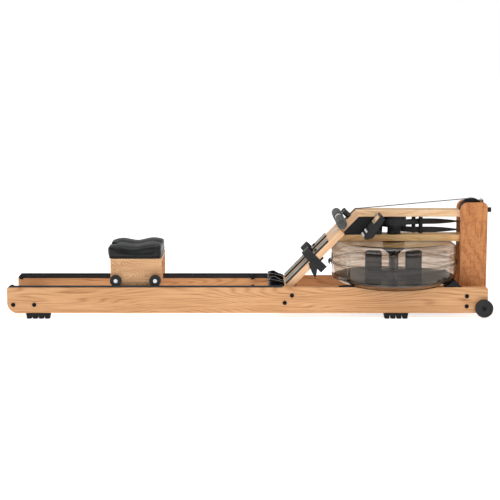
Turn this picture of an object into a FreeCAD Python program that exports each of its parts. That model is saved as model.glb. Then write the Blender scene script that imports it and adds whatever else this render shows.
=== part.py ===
import FreeCAD, Part
import math
import os

# Water rowing machine. Millimetres. Origin: centre of the bounding box on the floor.
# +X runs from the seat end to the tank end, +Y to the rower's left, +Z up.

V = FreeCAD.Vector

# ---- driving dimensions -------------------------------------------------------------------
LENGTH = 2085.0            # rear end of the rails to the front of the leg bumpers
RAIL_OUTER_Y = 170.0       # outer face of each rail
RAIL_THICK = 24.0
RAIL_BOTTOM = 24.0         # also the height of the feet
RAIL_HEIGHT = 112.5
RAIL_FRONT_INSET = 21.5    # rail end behind the front of the bumpers
BOLT_REAR_INSET = 26.5     # rear bolts from the rails' rear end
BOLT_PITCH = 90.0

TRACK_THICK = 2.0
TRACK_FLANGE = 11.0
TRACK_LIP_HEIGHT = 7.5
TRACK_LIP_THICK = 3.5
TRACK_OVERHANG = 0.5
TRACK_FLANGE_THICK = 2.5
TRACK_FRONT_X = 140.0
TRACK_REAR_INSET = 7.0

STOP_RADIUS = 10.5
STOP_LENGTH = 14.5
STOP_FRONT_X = 12.0
STOP_REAR_INSET = 17.5
STOP_DROP = 4.5            # stop centre below the rail top

FOOT_LENGTH = 104.0
FOOT_WIDTH = 28.0
FOOT_REAR_INSET = 133.5    # rear feet's middle from the rails' rear end
FOOT_FRONT_OFFSET = -2.6   # front feet's middle from the tank's axis

TANK_REAR_X = 354.6
TANK_RADIUS = 275.0
TANK_WALL = 4.0
TANK_BOTTOM = 111.0
TANK_TOP = 317.0
TANK_SEAM = 228.5
TANK_CAP_RADIUS = 980.0
TANK_CORNER = 46.0
TANK_TOP_CORNER = 40.0
TANK_FLANGE = 4.0
TANK_FLANGE_THICK = 5.0
GASKET_THICK = 3.0
SADDLE_DEPTH = 18.0        # scoop in the rail top under the tank
SADDLE_HALF = 175.0
CHOCK_LENGTH = 74.0
CHOCK_HEIGHT = 29.0        # front wedges
CHOCK_PAD = 6.0            # rear pads
CHOCK_LAP = 26.0           # front wedges inside the rails
CHOCK_INSET = 2.0

BOARD_ANGLE = 45.7
BOARD_FOOT_X = 152.0       # where the board's face crosses the rail running surface
BOARD_FOOT_Z = 138.5
BOARD_THICK = 28.5
BOARD_WIDTH = 250.0
BOARD_LOW = -95.0          # lower end, along the slope from the foot point
BOARD_STEP = 336.0         # where the board narrows
BOARD_LAP = 30.0           # narrow part inside the wide one
DECK_WIDTH = 96.0
DECK_TOP = 454.5
DECK_THICK = 28.5
DECK_END = 89.0            # deck's front end from the legs' rear edge
LOWER_DECK_TOP = 347.0
LOWER_DECK_THICK = 28.0
LOWER_DECK_END = 14.0
GUARD_GAP = 3.6            # between the side covers' front end and the drum
GUARD_LEAN = 6.0
GUARD_THICK = 3.0
GUARD_INSET = 3.0          # from the decks' sides

LEG_GAP = 6.4              # between the tank's wall and the legs
LEG_DEPTH = 116.0
LEG_THICK = 25.0
LEG_TOP = 489.5
LEG_BOTTOM = 30.0
LEG_REAR_CORNER = 33.0
LEG_FRONT_CORNER = 19.0
SPREADER_THICK = 26.0
SPREADER_BOTTOM = 36.0
SPREADER_TOP = 116.0
LEG_SPREADER_OFFSET = 19.0   # from the legs' rear edge
WHEEL_SPREADER_OFFSET = 81.0
REAR_SPREADER_LENGTH = 120.0
REAR_SPREADER_Z = 60.5
FOOT_BOLTS = [(28.0, 101.0), (-3.0, 69.0)]   # from the board's foot, and above the floor
LEG_BOLT_ZS = (98.0, 54.0)
FOOT_SPREADER_LOW = -75.0
FOOT_SPREADER_HIGH = 16.0
FOOT_SPREADER_THICK = 36.0

RAIL_BOLT_SHANK = 4.0
RAIL_BOLT_HEAD = 9.0
RAIL_BOLT_HEAD_THICK = 2.5
RAIL_BOLT_LENGTH = 50.0

DECK_BOLT_X = 505.0
DECK_BOLT_HEAD = 6.5
DECK_BOLT_HEAD_THICK = 2.8
DECK_BOLT_SHANK = 3.0
DECK_RECESS = 4.0
LEG_SCREW_Z = 335.0
LEG_SCREW_HEAD = 4.5
LEG_SCREW_HEAD_THICK = 1.6
LEG_SCREW_SHANK = 2.0
LEG_SCREW_LENGTH = 22.0

TRANSPORT_OFFSET = 92.5     # from the legs' rear edge
TRANSPORT_Z = 46.0
TRANSPORT_RADIUS = 38.5
TRANSPORT_WIDTH = 22.0
TRANSPORT_AXLE = 5.0
TRANSPORT_HEAD = 9.0

BUMPER_Z = 459.0
BUMPER_RADIUS = 10.5
BUMPER_LENGTH = 15.5

STRAP_WIDTH = 25.0
STRAP_THICK = 1.5
PULLEY_OFFSET = 56.6       # from the legs' rear edge
PULLEY_Z = 452.0
PULLEY_RADIUS = 51.5
PULLEY_WIDTH = 44.0
PULLEY_AXLE = 6.0
GROOVE_DEPTH = 2.0
RECOIL_PULLEY_RADIUS = 25.0
RECOIL_Z = 365.0           # height of the recoil strap's centre line
AXLE_BLIND = 14.0          # how far the pulley axles enter each leg
BUNGEE_RADIUS = 5.0
BUNGEE_TOP = 298.0
ROLLER_RADIUS = 9.0
ROLLER_AXLE = 3.0
FRONT_ROLLER_OFFSET = 115.4  # from the tank's axis
REAR_ROLLER_OFFSET = 86.4
TWIST_END_OFFSET = 17.0    # the straps stand on edge this far ahead of the front roller
FLAT_END_OFFSET = 4.0      # and lie flat from this far ahead of the legs' rear edge
KEEPER_OFFSET = 99.0
KEEPER_THICK = 2.5
KEEPER_BOTTOM = 487.0
KEEPER_TOP = 500.0

SHAFT_RADIUS = 8.0
SHAFT_BOTTOM = 119.0
SHAFT_TOP = 425.2
DRUM_RADIUS = 53.0
DRUM_BOTTOM = 380.0
BOBBIN_RADIUS = 31.0
BOBBIN_BOTTOM = 349.0
HOUSING_RADIUS = 24.0
HOUSING_BOTTOM = 248.0
HOUSING_FLANGE = 54.0
CONE_TIP = 13.0
CONE_RADIUS = 48.0
CONE_HEIGHT = 40.0
BLADE_COUNT = 4
BLADE_TURN = 3.0
BLADE_INNER = 52.0
BLADE_REACH = 125.0
BLADE_BOTTOM = 128.0
BLADE_TOP = 280.0
BLADE_CORNER = 20.0
BLADE_THICK = 5.0
ARM_THICK = 8.0
HUB_RADIUS = 22.0
HUB_BOTTOM = 150.0
HUB_TOP = 186.0
NECK_RADIUS = 14.0
NECK_TOP = 243.0

HANDLE_X = 389.5
HANDLE_Z = 414.0
HANDLE_LENGTH = 460.0
HANDLE_TUBE = 12.0
GRIP_RADIUS = 22.0
GRIP_END = 14.0            # rounding of each grip's end
SLEEVE_RADIUS = 17.0
SLEEVE_LENGTH = 90.0
STRAP_LIFT = 1.8           # strap centre above the board's face
STRAP_RISE = 4.4           # and at its end, against the handle's sleeve
PEG_ALONG = 400.0
PEG_Y = 33.0
PEG_RADIUS = 12.0
PEG_LENGTH = 36.0

PLATE_INNER_Y = 43.0
PLATE_OUTER_Y = 121.0
PLATE_LOW = 8.0
PLATE_LENGTH = 258.0
PLATE_THICK = 6.0
GUIDE_WIDTH = 3.4
GUIDE_HEIGHT = 7.0
CUP_REAR_X = 75.0
CUP_BOTTOM = 134.0
CUP_HEIGHT = 32.0
CUP_WALL = 6.0
CUP_FRONT_X = 150.0
CUP_CHAMFER = 12.0
TOE_ALONG = 146.5
TOE_WIDTH = 37.0
TOE_THICK = 2.4
TOE_HEIGHT = 42.0
TOE_TAIL_BELOW = 74.0
TOE_ROOT = 7.0             # strap's inner end beside the plate
TOE_RISE = 22.0
TOE_ROUND = 18.0
TOE_TAIL = [(10.0, -1.0), (15.5, -21.0), (-11.0, -58.0), (-33.0, -69.5), (-20.0, -41.5)]
BADGE_LOW = 290.0
BADGE_LENGTH = 38.0
BADGE_WIDTH = 35.0
BADGE_THICK = 1.5

SEAT_REAR_X = -613.0
SEAT_LENGTH = 234.0
SEAT_WIDTH = 290.0
SEAT_BOTTOM = 256.0
SEAT_SIDE = 46.0
SEAT_CROWN = 14.0
SEAT_CORNER = 34.0
SEAT_INSET = 12.0          # crown inside the pad's sides
NOTCH_HALF = 34.0          # tail-bone notch in the pad's rear
NOTCH_DEPTH = 34.0
PANEL_REAR_X = -600.0
PANEL_LENGTH = 220.0
PANEL_OUTER_Y = 140.0
PANEL_THICK = 20.0
PANEL_BOTTOM = 150.0
SEAT_BOARD_THICK = 12.0
STRIP_LENGTH = 200.0
STRIP_THICK = 16.0
STRIP_DEPTH = 31.0
SEAT_WHEEL_RADIUS = 24.5
SEAT_WHEEL_WIDTH = 18.0
SEAT_WHEEL_Y = 156.5
SEAT_WHEEL_INSET = 24.0    # rear wheel's centre from the panel's end
SEAT_WHEEL_FRONT_INSET = 27.0
SEAT_BOLT = 4.0
SEAT_BOLT_HEAD = 8.5
SEAT_BOLT_HEAD_THICK = 1.2
SOCKET_RADIUS = 3.0        # hexagon sockets in the bolt heads, across their corners
SOCKET_DEPTH = 0.8

MONITOR_X = 525.5
MONITOR_Z = 386.5
MONITOR_NEAR_Y = -190.0
MONITOR_FAR_Y = -60.0
MONITOR_TALL = 138.0
MONITOR_THICK = 28.0       # half of it in front of the middle
MONITOR_ANGLE = 51.0       # long axis above the horizontal
MONITOR_BACK_TOP = 8.0    # back behind the middle, at the top
MONITOR_BACK_LOW = 21.0    # and at the lower end
MONITOR_CHIN = 37.5        # how much shorter the back is than the face
MONITOR_SOFT = 22.0        # rounding of the lower end
MONITOR_LIP = 10.0          # and of its front corner
EAR_THICK = 10.0
EAR_RADIUS = 11.0
EAR_NEAR_INSET = 60.0
EAR_FAR_INSET = 40.0
POCKET_DEPTH = 6.0
SCREEN_LOW = -11.0
SCREEN_HIGH = 58.0
SCREEN_INSET = 10.0
SCREEN_PROUD = 0.8
ARM_HALF = 12.0
ARM_SHIFT = 11.0           # arm's middle ahead of the hinge
ARM_PLATE = 4.0
ARM_DROP = 18.0            # arm's top below the deck's top
MONITOR_PIVOT = 26.0       # hinge axis behind the case's middle
MONITOR_ROD = 6.0
KEY_TALL = 8.0
KEY_LOW = -50.5
KEY_PITCH = 20.0
KEY_INSET = 12.0
KEY_TRAVEL = 1.0
KEY_PROUD = 2.0

BIG_EASE = 3.0             # rounding of wooden edges
EASE = 2.5
SMALL_EASE = 2.0

RUN = 0.05                 # radial clearance of a running fit
GAP = 0.3                  # clearance between a moving face and its neighbour
EDGE = 0.4                 # key to pocket

# ---- derived places -----------------------------------------------------------------------
TANK_X = TANK_REAR_X + TANK_RADIUS
LEG_REAR_X = TANK_X + TANK_RADIUS + LEG_GAP
LEG_FRONT_X = LEG_REAR_X + LEG_DEPTH
FRONT_X = LEG_FRONT_X + BUMPER_LENGTH
REAR_X = FRONT_X - LENGTH
RAIL_FRONT_X = FRONT_X - RAIL_FRONT_INSET
FOOT_REAR_X = REAR_X + FOOT_REAR_INSET
FOOT_FRONT_X = TANK_X + FOOT_FRONT_OFFSET
DECK_END_X = LEG_REAR_X + DECK_END
LOWER_DECK_END_X = LEG_REAR_X + LOWER_DECK_END
LEG_SPREADER_X = LEG_REAR_X + LEG_SPREADER_OFFSET
WHEEL_SPREADER_X = LEG_REAR_X + WHEEL_SPREADER_OFFSET
REAR_SPREADER_X = REAR_X + BOLT_REAR_INSET + BOLT_PITCH / 2
TRANSPORT_X = LEG_REAR_X + TRANSPORT_OFFSET
PULLEY_X = LEG_REAR_X + PULLEY_OFFSET
KEEPER_X = LEG_REAR_X + KEEPER_OFFSET
FRONT_ROLLER_X = TANK_X + FRONT_ROLLER_OFFSET
REAR_ROLLER_X = TANK_X + REAR_ROLLER_OFFSET
TWIST_END_X = FRONT_ROLLER_X + TWIST_END_OFFSET
FLAT_END_X = LEG_REAR_X + FLAT_END_OFFSET
GUARD_END_X = TANK_X - DRUM_RADIUS - GUARD_GAP
RAIL_BOLTS = [(REAR_X + BOLT_REAR_INSET, REAR_SPREADER_Z), (REAR_X + BOLT_REAR_INSET + BOLT_PITCH, REAR_SPREADER_Z)]
RAIL_BOLTS += [(BOARD_FOOT_X + along, z) for along, z in FOOT_BOLTS] + [(LEG_SPREADER_X, z) for z in LEG_BOLT_ZS]
RAIL_INNER_Y = RAIL_OUTER_Y - RAIL_THICK
RAIL_TOP = RAIL_BOTTOM + RAIL_HEIGHT
TRACK_TOP = RAIL_TOP + TRACK_THICK
TRACK_INNER_Y = RAIL_INNER_Y - TRACK_FLANGE_THICK
DECK_HALF = DECK_WIDTH / 2
DECK_BOTTOM = DECK_TOP - DECK_THICK
LOWER_DECK_BOTTOM = LOWER_DECK_TOP - LOWER_DECK_THICK
LEG_INNER_Y = DECK_HALF
LEG_OUTER_Y = DECK_HALF + LEG_THICK
LEG_MIDDLE_Y = DECK_HALF + LEG_THICK / 2
PULLEY_FLOOR = PULLEY_RADIUS - GROOVE_DEPTH
PULLEY_STRAP = PULLEY_FLOOR + GAP + STRAP_THICK / 2
STRAP_Z = PULLEY_Z - PULLEY_STRAP
RECOIL_FLOOR = RECOIL_PULLEY_RADIUS - GROOVE_DEPTH
RECOIL_STRAP = RECOIL_FLOOR + GAP + STRAP_THICK / 2
RECOIL_PULLEY_Z = RECOIL_Z - RECOIL_STRAP
DRUM_FLOOR = DRUM_RADIUS - GROOVE_DEPTH
DRUM_STRAP = DRUM_FLOOR + GAP + STRAP_THICK / 2
BOBBIN_FLOOR = BOBBIN_RADIUS - 2 * GROOVE_DEPTH
BOBBIN_STRAP = BOBBIN_FLOOR + GAP + STRAP_THICK / 2
ROLLER_STRAP = ROLLER_RADIUS + GAP + STRAP_THICK / 2
ROLLER_BOTTOM = LOWER_DECK_TOP + 4
ROLLER_TOP = DECK_BOTTOM - 3
PLATE_TOP = PLATE_LOW + PLATE_LENGTH
PANEL_TOP = SEAT_BOTTOM
SEAT_WHEEL_Z = TRACK_TOP + SEAT_WHEEL_RADIUS
SEAT_WHEEL_XS = {"rear": PANEL_REAR_X + SEAT_WHEEL_INSET,
                 "front": PANEL_REAR_X + PANEL_LENGTH - SEAT_WHEEL_FRONT_INSET}
SIDES = {"right": -1, "left": 1}


# ---- helpers ------------------------------------------------------------------------------
def box(x0, x1, y0, y1, z0, z1):
    return Part.makeBox(x1 - x0, y1 - y0, z1 - z0, V(x0, y0, z0))


def rod(start, direction, radius, length):
    return Part.makeCylinder(radius, length, V(*start), V(*direction))


def rod_y(x, z, y0, y1, radius):
    return rod((x, y0, z), (0, 1, 0), radius, y1 - y0)


def rod_z(x, y, z0, z1, radius):
    return rod((x, y, z0), (0, 0, 1), radius, z1 - z0)


def mirrored(shape):
    return shape.mirror(V(0, 0, 0), V(0, 1, 0))


def on_side(shape, side):
    """A shape modelled at positive Y, moved to the side with sign -1 or 1."""
    return shape if side > 0 else mirrored(shape)


def eased_rims(shape, radius):
    """A plank with the edges of its two sides rounded."""
    return shape.makeFillet(radius, [e for e in shape.Edges if e.BoundBox.YLength < 1e-3])


def eased_along(shape, radius, direction):
    """A straight piece with its edges along a direction rounded."""
    chosen = [e for e in shape.Edges if e.tangentAt(e.FirstParameter).cross(direction).Length < 1e-3]
    return shape.makeFillet(radius, chosen)


def both_sides(shape):
    return [shape, mirrored(shape)]


def fused(first, *others):
    return first.fuse(list(others)).removeSplitter() if others else first


def xz(y):
    return lambda a, b: V(a, y, b)


def xy(z):
    return lambda a, b: V(a, b, z)


def corner(before, here, after, radius):
    """Start, middle and end of the arc that rounds one corner of an outline."""
    bx, by = here
    to_before = V(before[0] - bx, before[1] - by, 0).normalize()
    to_after = V(after[0] - bx, after[1] - by, 0).normalize()
    half = to_before.getAngle(to_after) / 2
    trim = radius / math.tan(half)
    middle = (to_before + to_after).normalize() * (radius / math.sin(half) - radius)
    start = (bx + to_before.x * trim, by + to_before.y * trim)
    end = (bx + to_after.x * trim, by + to_after.y * trim)
    return start, (bx + middle.x, by + middle.y), end


def outline(points, place):
    """Closed wire through (a, b) or (a, b, corner radius) points, put in space by place."""
    edges = []
    ends = []
    for index, point in enumerate(points):
        before = points[index - 1]
        after = points[(index + 1) % len(points)]
        if len(point) == 3 and point[2] > 0:
            start, middle, end = corner(before[:2], point[:2], after[:2], point[2])
            arc = Part.Arc(place(*start), place(*middle), place(*end)).toShape()
            ends.append((start, end, arc))
        else:
            ends.append((point[:2], point[:2], None))
    for index, (start, end, arc) in enumerate(ends):
        if arc is not None:
            edges.append(arc)
        following = place(*ends[(index + 1) % len(ends)][0])
        if place(*end).distanceToPoint(following) > 1e-6:
            edges.append(Part.makeLine(place(*end), following))
    return Part.Wire(Part.__sortEdges__(edges))


def plank(points, y0, y1):
    """An outline in the XZ plane, from y0 to y1."""
    return Part.Face(outline(points, xz(y0))).extrude(V(0, y1 - y0, 0))


def slab(points, z0, z1):
    """An outline in the XY plane, from z0 to z1."""
    return Part.Face(outline(points, xy(z0))).extrude(V(0, 0, z1 - z0))


def turned(points, x, y):
    """A closed (radius, z) outline turned about the vertical axis through (x, y)."""
    face = Part.Face(Part.makePolygon([V(x + r, y, z) for r, z in points + points[:1]]))
    return face.revolve(V(x, y, 0), V(0, 0, 1), 360)


def turned_y(points, x, z):
    """A closed (radius, y) outline turned about the cross-machine axis through (x, z)."""
    face = Part.Face(Part.makePolygon([V(x + r, y, z) for r, y in points + points[:1]]))
    return face.revolve(V(x, 0, z), V(0, 1, 0), 360)


def band(points, thick):
    """Outline of an open path, (a, b, corner radius), given a thickness."""
    left = []
    right = []
    for index, point in enumerate(points):
        here = V(point[0], point[1], 0)
        ins = here - V(*points[index - 1][:2], 0) if index > 0 else None
        outs = V(*points[index + 1][:2], 0) - here if index < len(points) - 1 else None
        ins = (ins or outs).normalize()
        outs = (outs or ins).normalize()
        bend = ins.x * outs.y - ins.y * outs.x
        normal = (V(-ins.y, ins.x, 0) + V(-outs.y, outs.x, 0)).normalize()
        reach = thick / 2 / normal.dot(V(-ins.y, ins.x, 0))
        radius = point[2] if len(point) == 3 else 0
        lean = thick / 2 if bend < 0 else -thick / 2
        left.append((here.x + normal.x * reach, here.y + normal.y * reach, radius + lean if radius else 0))
        right.append((here.x - normal.x * reach, here.y - normal.y * reach, radius - lean if radius else 0))
    return left + right[::-1]


def board(along, up):
    """(x, z) of a point measured along the board's slope and up from its face."""
    angle = math.radians(BOARD_ANGLE)
    x = BOARD_FOOT_X + along * math.cos(angle) - up * math.sin(angle)
    z = BOARD_FOOT_Z + along * math.sin(angle) + up * math.cos(angle)
    return x, z


def board_plank(points, y0, y1):
    """An outline given as (along, up, radius) on the board, from y0 to y1."""
    placed = [(*board(p[0], p[1]), p[2] if len(p) == 3 else 0) for p in points]
    return plank(placed, y0, y1)


def board_x_at(z, up):
    """x where a line parallel to the board, up from its face, reaches height z."""
    angle = math.radians(BOARD_ANGLE)
    along = (z - BOARD_FOOT_Z - up * math.cos(angle)) / math.sin(angle)
    return board(along, up)[0]


def block(low, high, bottom, top):
    """Corners of a rectangle on the board, along low..high and up bottom..top."""
    return [(low, bottom), (high, bottom), (high, top), (low, top)]


def monitor(along, out):
    """(x, z) of a point on the monitor, along its face and out from its middle."""
    angle = math.radians(MONITOR_ANGLE)
    x = MONITOR_X + along * math.cos(angle) - out * math.sin(angle)
    z = MONITOR_Z + along * math.sin(angle) + out * math.cos(angle)
    return x, z


def monitor_block(points, y0, y1):
    placed = [(*monitor(p[0], p[1]), p[2] if len(p) == 3 else 0) for p in points]
    return plank(placed, y0, y1)


def wheel_profile(radius, bore, width, rim, edge):
    """Half section of a wheel with a raised rim and hub, as (radius, y) points."""
    half = width / 2
    hub = bore + 8
    return [(bore, -half), (hub, -half), (hub, 3 - half), (rim, 3 - half), (rim, -half),
            (radius - edge, -half), (radius, edge - half), (radius, half - edge), (radius - edge, half),
            (rim, half), (rim, half - 3), (hub, half - 3), (hub, half), (bore, half)]


# ---- rails and base -----------------------------------------------------------------------
def rail_bolt_shanks():
    """Shank cylinders of one side's bolts, also used to drill rails and spreaders."""
    inner = RAIL_OUTER_Y - RAIL_BOLT_LENGTH
    return [rod_y(x, z, inner, RAIL_OUTER_Y, RAIL_BOLT_SHANK) for x, z in RAIL_BOLTS]


def drilled(shape):
    """The shape with the rail bolts' holes of both sides."""
    holes = []
    for shank in rail_bolt_shanks():
        holes += both_sides(shank)
    return shape.cut(holes)


def make_rail():
    points = [(REAR_X, RAIL_BOTTOM, 44), (RAIL_FRONT_X, RAIL_BOTTOM, 30),
              (RAIL_FRONT_X, RAIL_TOP, 12), (REAR_X, RAIL_TOP, 9)]
    rail = eased_rims(plank(points, RAIL_INNER_Y, RAIL_OUTER_Y), SMALL_EASE)
    scoop_radius = (SADDLE_HALF ** 2 + SADDLE_DEPTH ** 2) / (2 * SADDLE_DEPTH)
    scoop_z = RAIL_TOP - SADDLE_DEPTH + scoop_radius
    scoop = rod_y(TANK_X, scoop_z, RAIL_INNER_Y - 1, RAIL_OUTER_Y + 1, scoop_radius)
    axle = rod_y(TRANSPORT_X, TRANSPORT_Z, RAIL_INNER_Y - 1, RAIL_OUTER_Y + 1, TRANSPORT_AXLE)
    return drilled(rail.cut([scoop, axle]))


def make_track():
    rear = REAR_X + TRACK_REAR_INSET
    top = box(rear, TRACK_FRONT_X, TRACK_INNER_Y, RAIL_OUTER_Y, RAIL_TOP, TRACK_TOP)
    flange_z = RAIL_TOP - TRACK_FLANGE
    flange = box(rear, TRACK_FRONT_X, TRACK_INNER_Y, RAIL_INNER_Y, flange_z, TRACK_TOP)
    lip_y = RAIL_OUTER_Y - TRACK_LIP_THICK
    lip = [(rear, RAIL_TOP), (TRACK_FRONT_X, RAIL_TOP), (TRACK_FRONT_X, RAIL_TOP + TRACK_LIP_HEIGHT, 3),
           (rear + 5, RAIL_TOP + TRACK_LIP_HEIGHT, 2)]
    return fused(top, flange, plank(lip, lip_y, RAIL_OUTER_Y + TRACK_OVERHANG))


def make_rubber_stops():
    """Seat stops inside the rails and the leg bumpers the machine stands on when stored upright."""
    z = RAIL_TOP - STOP_DROP
    pieces = []
    for x in (REAR_X + STOP_REAR_INSET, STOP_FRONT_X):
        stop = rod_y(x, z, TRACK_INNER_Y - STOP_LENGTH, TRACK_INNER_Y, STOP_RADIUS)
        pieces += both_sides(stop)
    bumper = rod((LEG_FRONT_X, LEG_MIDDLE_Y, BUMPER_Z), (1, 0, 0), BUMPER_RADIUS, BUMPER_LENGTH)
    face = [e for e in bumper.Edges if e.BoundBox.XMin > LEG_FRONT_X + BUMPER_LENGTH - 0.1]
    pieces += both_sides(bumper.makeFillet(1.5, face))
    return pieces


def make_foot():
    half = FOOT_LENGTH / 2
    y0 = (RAIL_INNER_Y + RAIL_OUTER_Y - FOOT_WIDTH) / 2
    strip = box(-half, half, y0, y0 + FOOT_WIDTH, 14, RAIL_BOTTOM)
    lobes = []
    pitch = FOOT_LENGTH / 4
    for index in range(4):
        low = -half + index * pitch + 2
        points = [(low, 0, 4), (low + pitch - 4, 0, 4), (low + pitch - 4, 16), (low, 16)]
        lobes.append(plank(points, y0, y0 + FOOT_WIDTH))
    return fused(strip, *lobes)


def make_feet():
    feet = []
    for x in (FOOT_REAR_X, FOOT_FRONT_X):
        foot = make_foot()
        foot.translate(V(x, 0, 0))
        feet += both_sides(foot)
    return feet


def cross_board(x, thick, z0, z1):
    plain = box(x - thick / 2, x + thick / 2, -RAIL_INNER_Y, RAIL_INNER_Y, z0, z1)
    return eased_along(plain, SMALL_EASE, V(0, 1, 0))


def make_rear_spreader():
    low = REAR_SPREADER_Z - SPREADER_THICK / 2
    return drilled(cross_board(REAR_SPREADER_X, REAR_SPREADER_LENGTH, low, low + SPREADER_THICK))


def make_front_spreaders():
    rear = drilled(cross_board(LEG_SPREADER_X, SPREADER_THICK, SPREADER_BOTTOM, SPREADER_TOP))
    front = cross_board(WHEEL_SPREADER_X, SPREADER_THICK, SPREADER_BOTTOM, SPREADER_TOP)
    return [rear, front]


def make_foot_spreader():
    points = block(FOOT_SPREADER_LOW, FOOT_SPREADER_HIGH, -BOARD_THICK - FOOT_SPREADER_THICK, -BOARD_THICK)
    return drilled(eased_along(board_plank(points, -RAIL_INNER_Y, RAIL_INNER_Y), SMALL_EASE, V(0, 1, 0)))


def leg_screws():
    """Screws in the front edge of each leg, under the bumpers: head and shank."""
    head = rod((LEG_FRONT_X, LEG_MIDDLE_Y, LEG_SCREW_Z), (1, 0, 0), LEG_SCREW_HEAD, LEG_SCREW_HEAD_THICK)
    inner = LEG_FRONT_X - LEG_SCREW_LENGTH
    shank = rod((inner, LEG_MIDDLE_Y, LEG_SCREW_Z), (1, 0, 0), LEG_SCREW_SHANK, LEG_SCREW_LENGTH)
    return head, shank


def pulley_axles():
    """Axles of the two pulleys, held in the legs, and of the two guide rollers, held in the decks."""
    reach = LEG_INNER_Y + AXLE_BLIND
    axles = [rod_y(PULLEY_X, z, -reach, reach, PULLEY_AXLE) for z in (PULLEY_Z, RECOIL_PULLEY_Z)]
    for x, y in ((FRONT_ROLLER_X, -ROLLER_STRAP), (REAR_ROLLER_X, ROLLER_STRAP)):
        axles.append(rod_z(x, y, LOWER_DECK_TOP - 8, DECK_BOTTOM + 8, ROLLER_AXLE))
    return axles


def make_leg():
    points = [(LEG_REAR_X, LEG_BOTTOM), (LEG_FRONT_X, LEG_BOTTOM, 6), (LEG_FRONT_X, LEG_TOP, LEG_FRONT_CORNER),
              (LEG_REAR_X, LEG_TOP, LEG_REAR_CORNER)]
    leg = eased_rims(plank(points, LEG_INNER_Y, LEG_OUTER_Y), BIG_EASE)
    notches = make_front_spreaders()
    notches.append(box(LEG_REAR_X - 1, LEG_SPREADER_X, 0, 200, LEG_BOTTOM - 1, SPREADER_TOP))
    notches.append(box(WHEEL_SPREADER_X, LEG_FRONT_X + 1, 0, 200, LEG_BOTTOM - 1, SPREADER_TOP))
    notches.append(box(LEG_REAR_X - 1, LEG_FRONT_X + 1, 0, 200, LEG_BOTTOM - 1, SPREADER_BOTTOM))
    return leg.cut(notches + pulley_axles() + [leg_screws()[1]])


# ---- footboard and decks ------------------------------------------------------------------
def mitre_points():
    """Outer and inner corner where the board meets the upper deck."""
    outer = (board_x_at(DECK_TOP, 0), DECK_TOP)
    inner = (board_x_at(DECK_BOTTOM, -BOARD_THICK), DECK_BOTTOM)
    return outer, inner


def make_footboard():
    outer, inner = mitre_points()
    half = BOARD_WIDTH / 2
    slope = V(outer[0] - BOARD_FOOT_X, 0, outer[1] - BOARD_FOOT_Z).normalize()
    wide = eased_along(board_plank(block(BOARD_LOW, BOARD_STEP, -BOARD_THICK, 0), -half, half), EASE, slope)
    low = board(BOARD_STEP - BOARD_LAP, 0)
    low_back = board(BOARD_STEP - BOARD_LAP, -BOARD_THICK)
    narrow = eased_along(plank([low, outer, inner, low_back], -DECK_HALF, DECK_HALF), EASE, slope)
    return fused(wide, narrow)


def make_badge():
    points = [(*p, 0) for p in block(BADGE_LOW, BADGE_LOW + BADGE_LENGTH, 0, BADGE_THICK)]
    return board_plank(points, -BADGE_WIDTH / 2, BADGE_WIDTH / 2)


def deck_bolt():
    """Bolt in the upper deck's top: head in its recess, and shank."""
    seat = DECK_TOP - DECK_RECESS
    head = rod_z(DECK_BOLT_X, 0, seat, seat + DECK_BOLT_HEAD_THICK, DECK_BOLT_HEAD)
    return head, rod_z(DECK_BOLT_X, 0, DECK_BOTTOM, seat, DECK_BOLT_SHANK)


def make_upper_deck():
    outer, inner = mitre_points()
    plain = plank([outer, (DECK_END_X, DECK_TOP), (DECK_END_X, DECK_BOTTOM), inner], -DECK_HALF, DECK_HALF)
    deck = eased_along(plain, EASE, V(1, 0, 0))
    slot = box(PULLEY_X - PULLEY_RADIUS - 11, DECK_END_X + 1, -PULLEY_WIDTH / 2 - 2, PULLEY_WIDTH / 2 + 2,
               DECK_BOTTOM - 1, DECK_TOP + 1)
    recess = rod_z(DECK_BOLT_X, 0, DECK_TOP - DECK_RECESS, DECK_TOP + 1, DECK_BOLT_HEAD + 1.5)
    return deck.cut([slot, recess, deck_bolt()[1]] + pulley_axles())


def make_lower_deck():
    low_x = board_x_at(LOWER_DECK_BOTTOM, -BOARD_THICK)
    high_x = board_x_at(LOWER_DECK_TOP, -BOARD_THICK)
    points = [(low_x, LOWER_DECK_BOTTOM), (LOWER_DECK_END_X, LOWER_DECK_BOTTOM),
              (LOWER_DECK_END_X, LOWER_DECK_TOP), (high_x, LOWER_DECK_TOP)]
    deck = eased_along(plank(points, -DECK_HALF, DECK_HALF), EASE, V(1, 0, 0))
    bore = rod_z(TANK_X, 0, LOWER_DECK_BOTTOM - 1, LOWER_DECK_TOP + 1, HOUSING_RADIUS)
    return deck.cut([bore] + pulley_axles())


def make_belt_guards():
    """Two side covers between the decks, from the board back to the drum."""
    bottom = LOWER_DECK_TOP + 0.5
    top = DECK_BOTTOM - 0.5
    points = [(board_x_at(bottom, -BOARD_THICK) + 1, bottom), (GUARD_END_X, bottom), (GUARD_END_X + GUARD_LEAN, top),
              (board_x_at(top, -BOARD_THICK) + 1, top)]
    outer = DECK_HALF - GUARD_INSET
    return both_sides(plank(points, outer - GUARD_THICK, outer))


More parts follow.
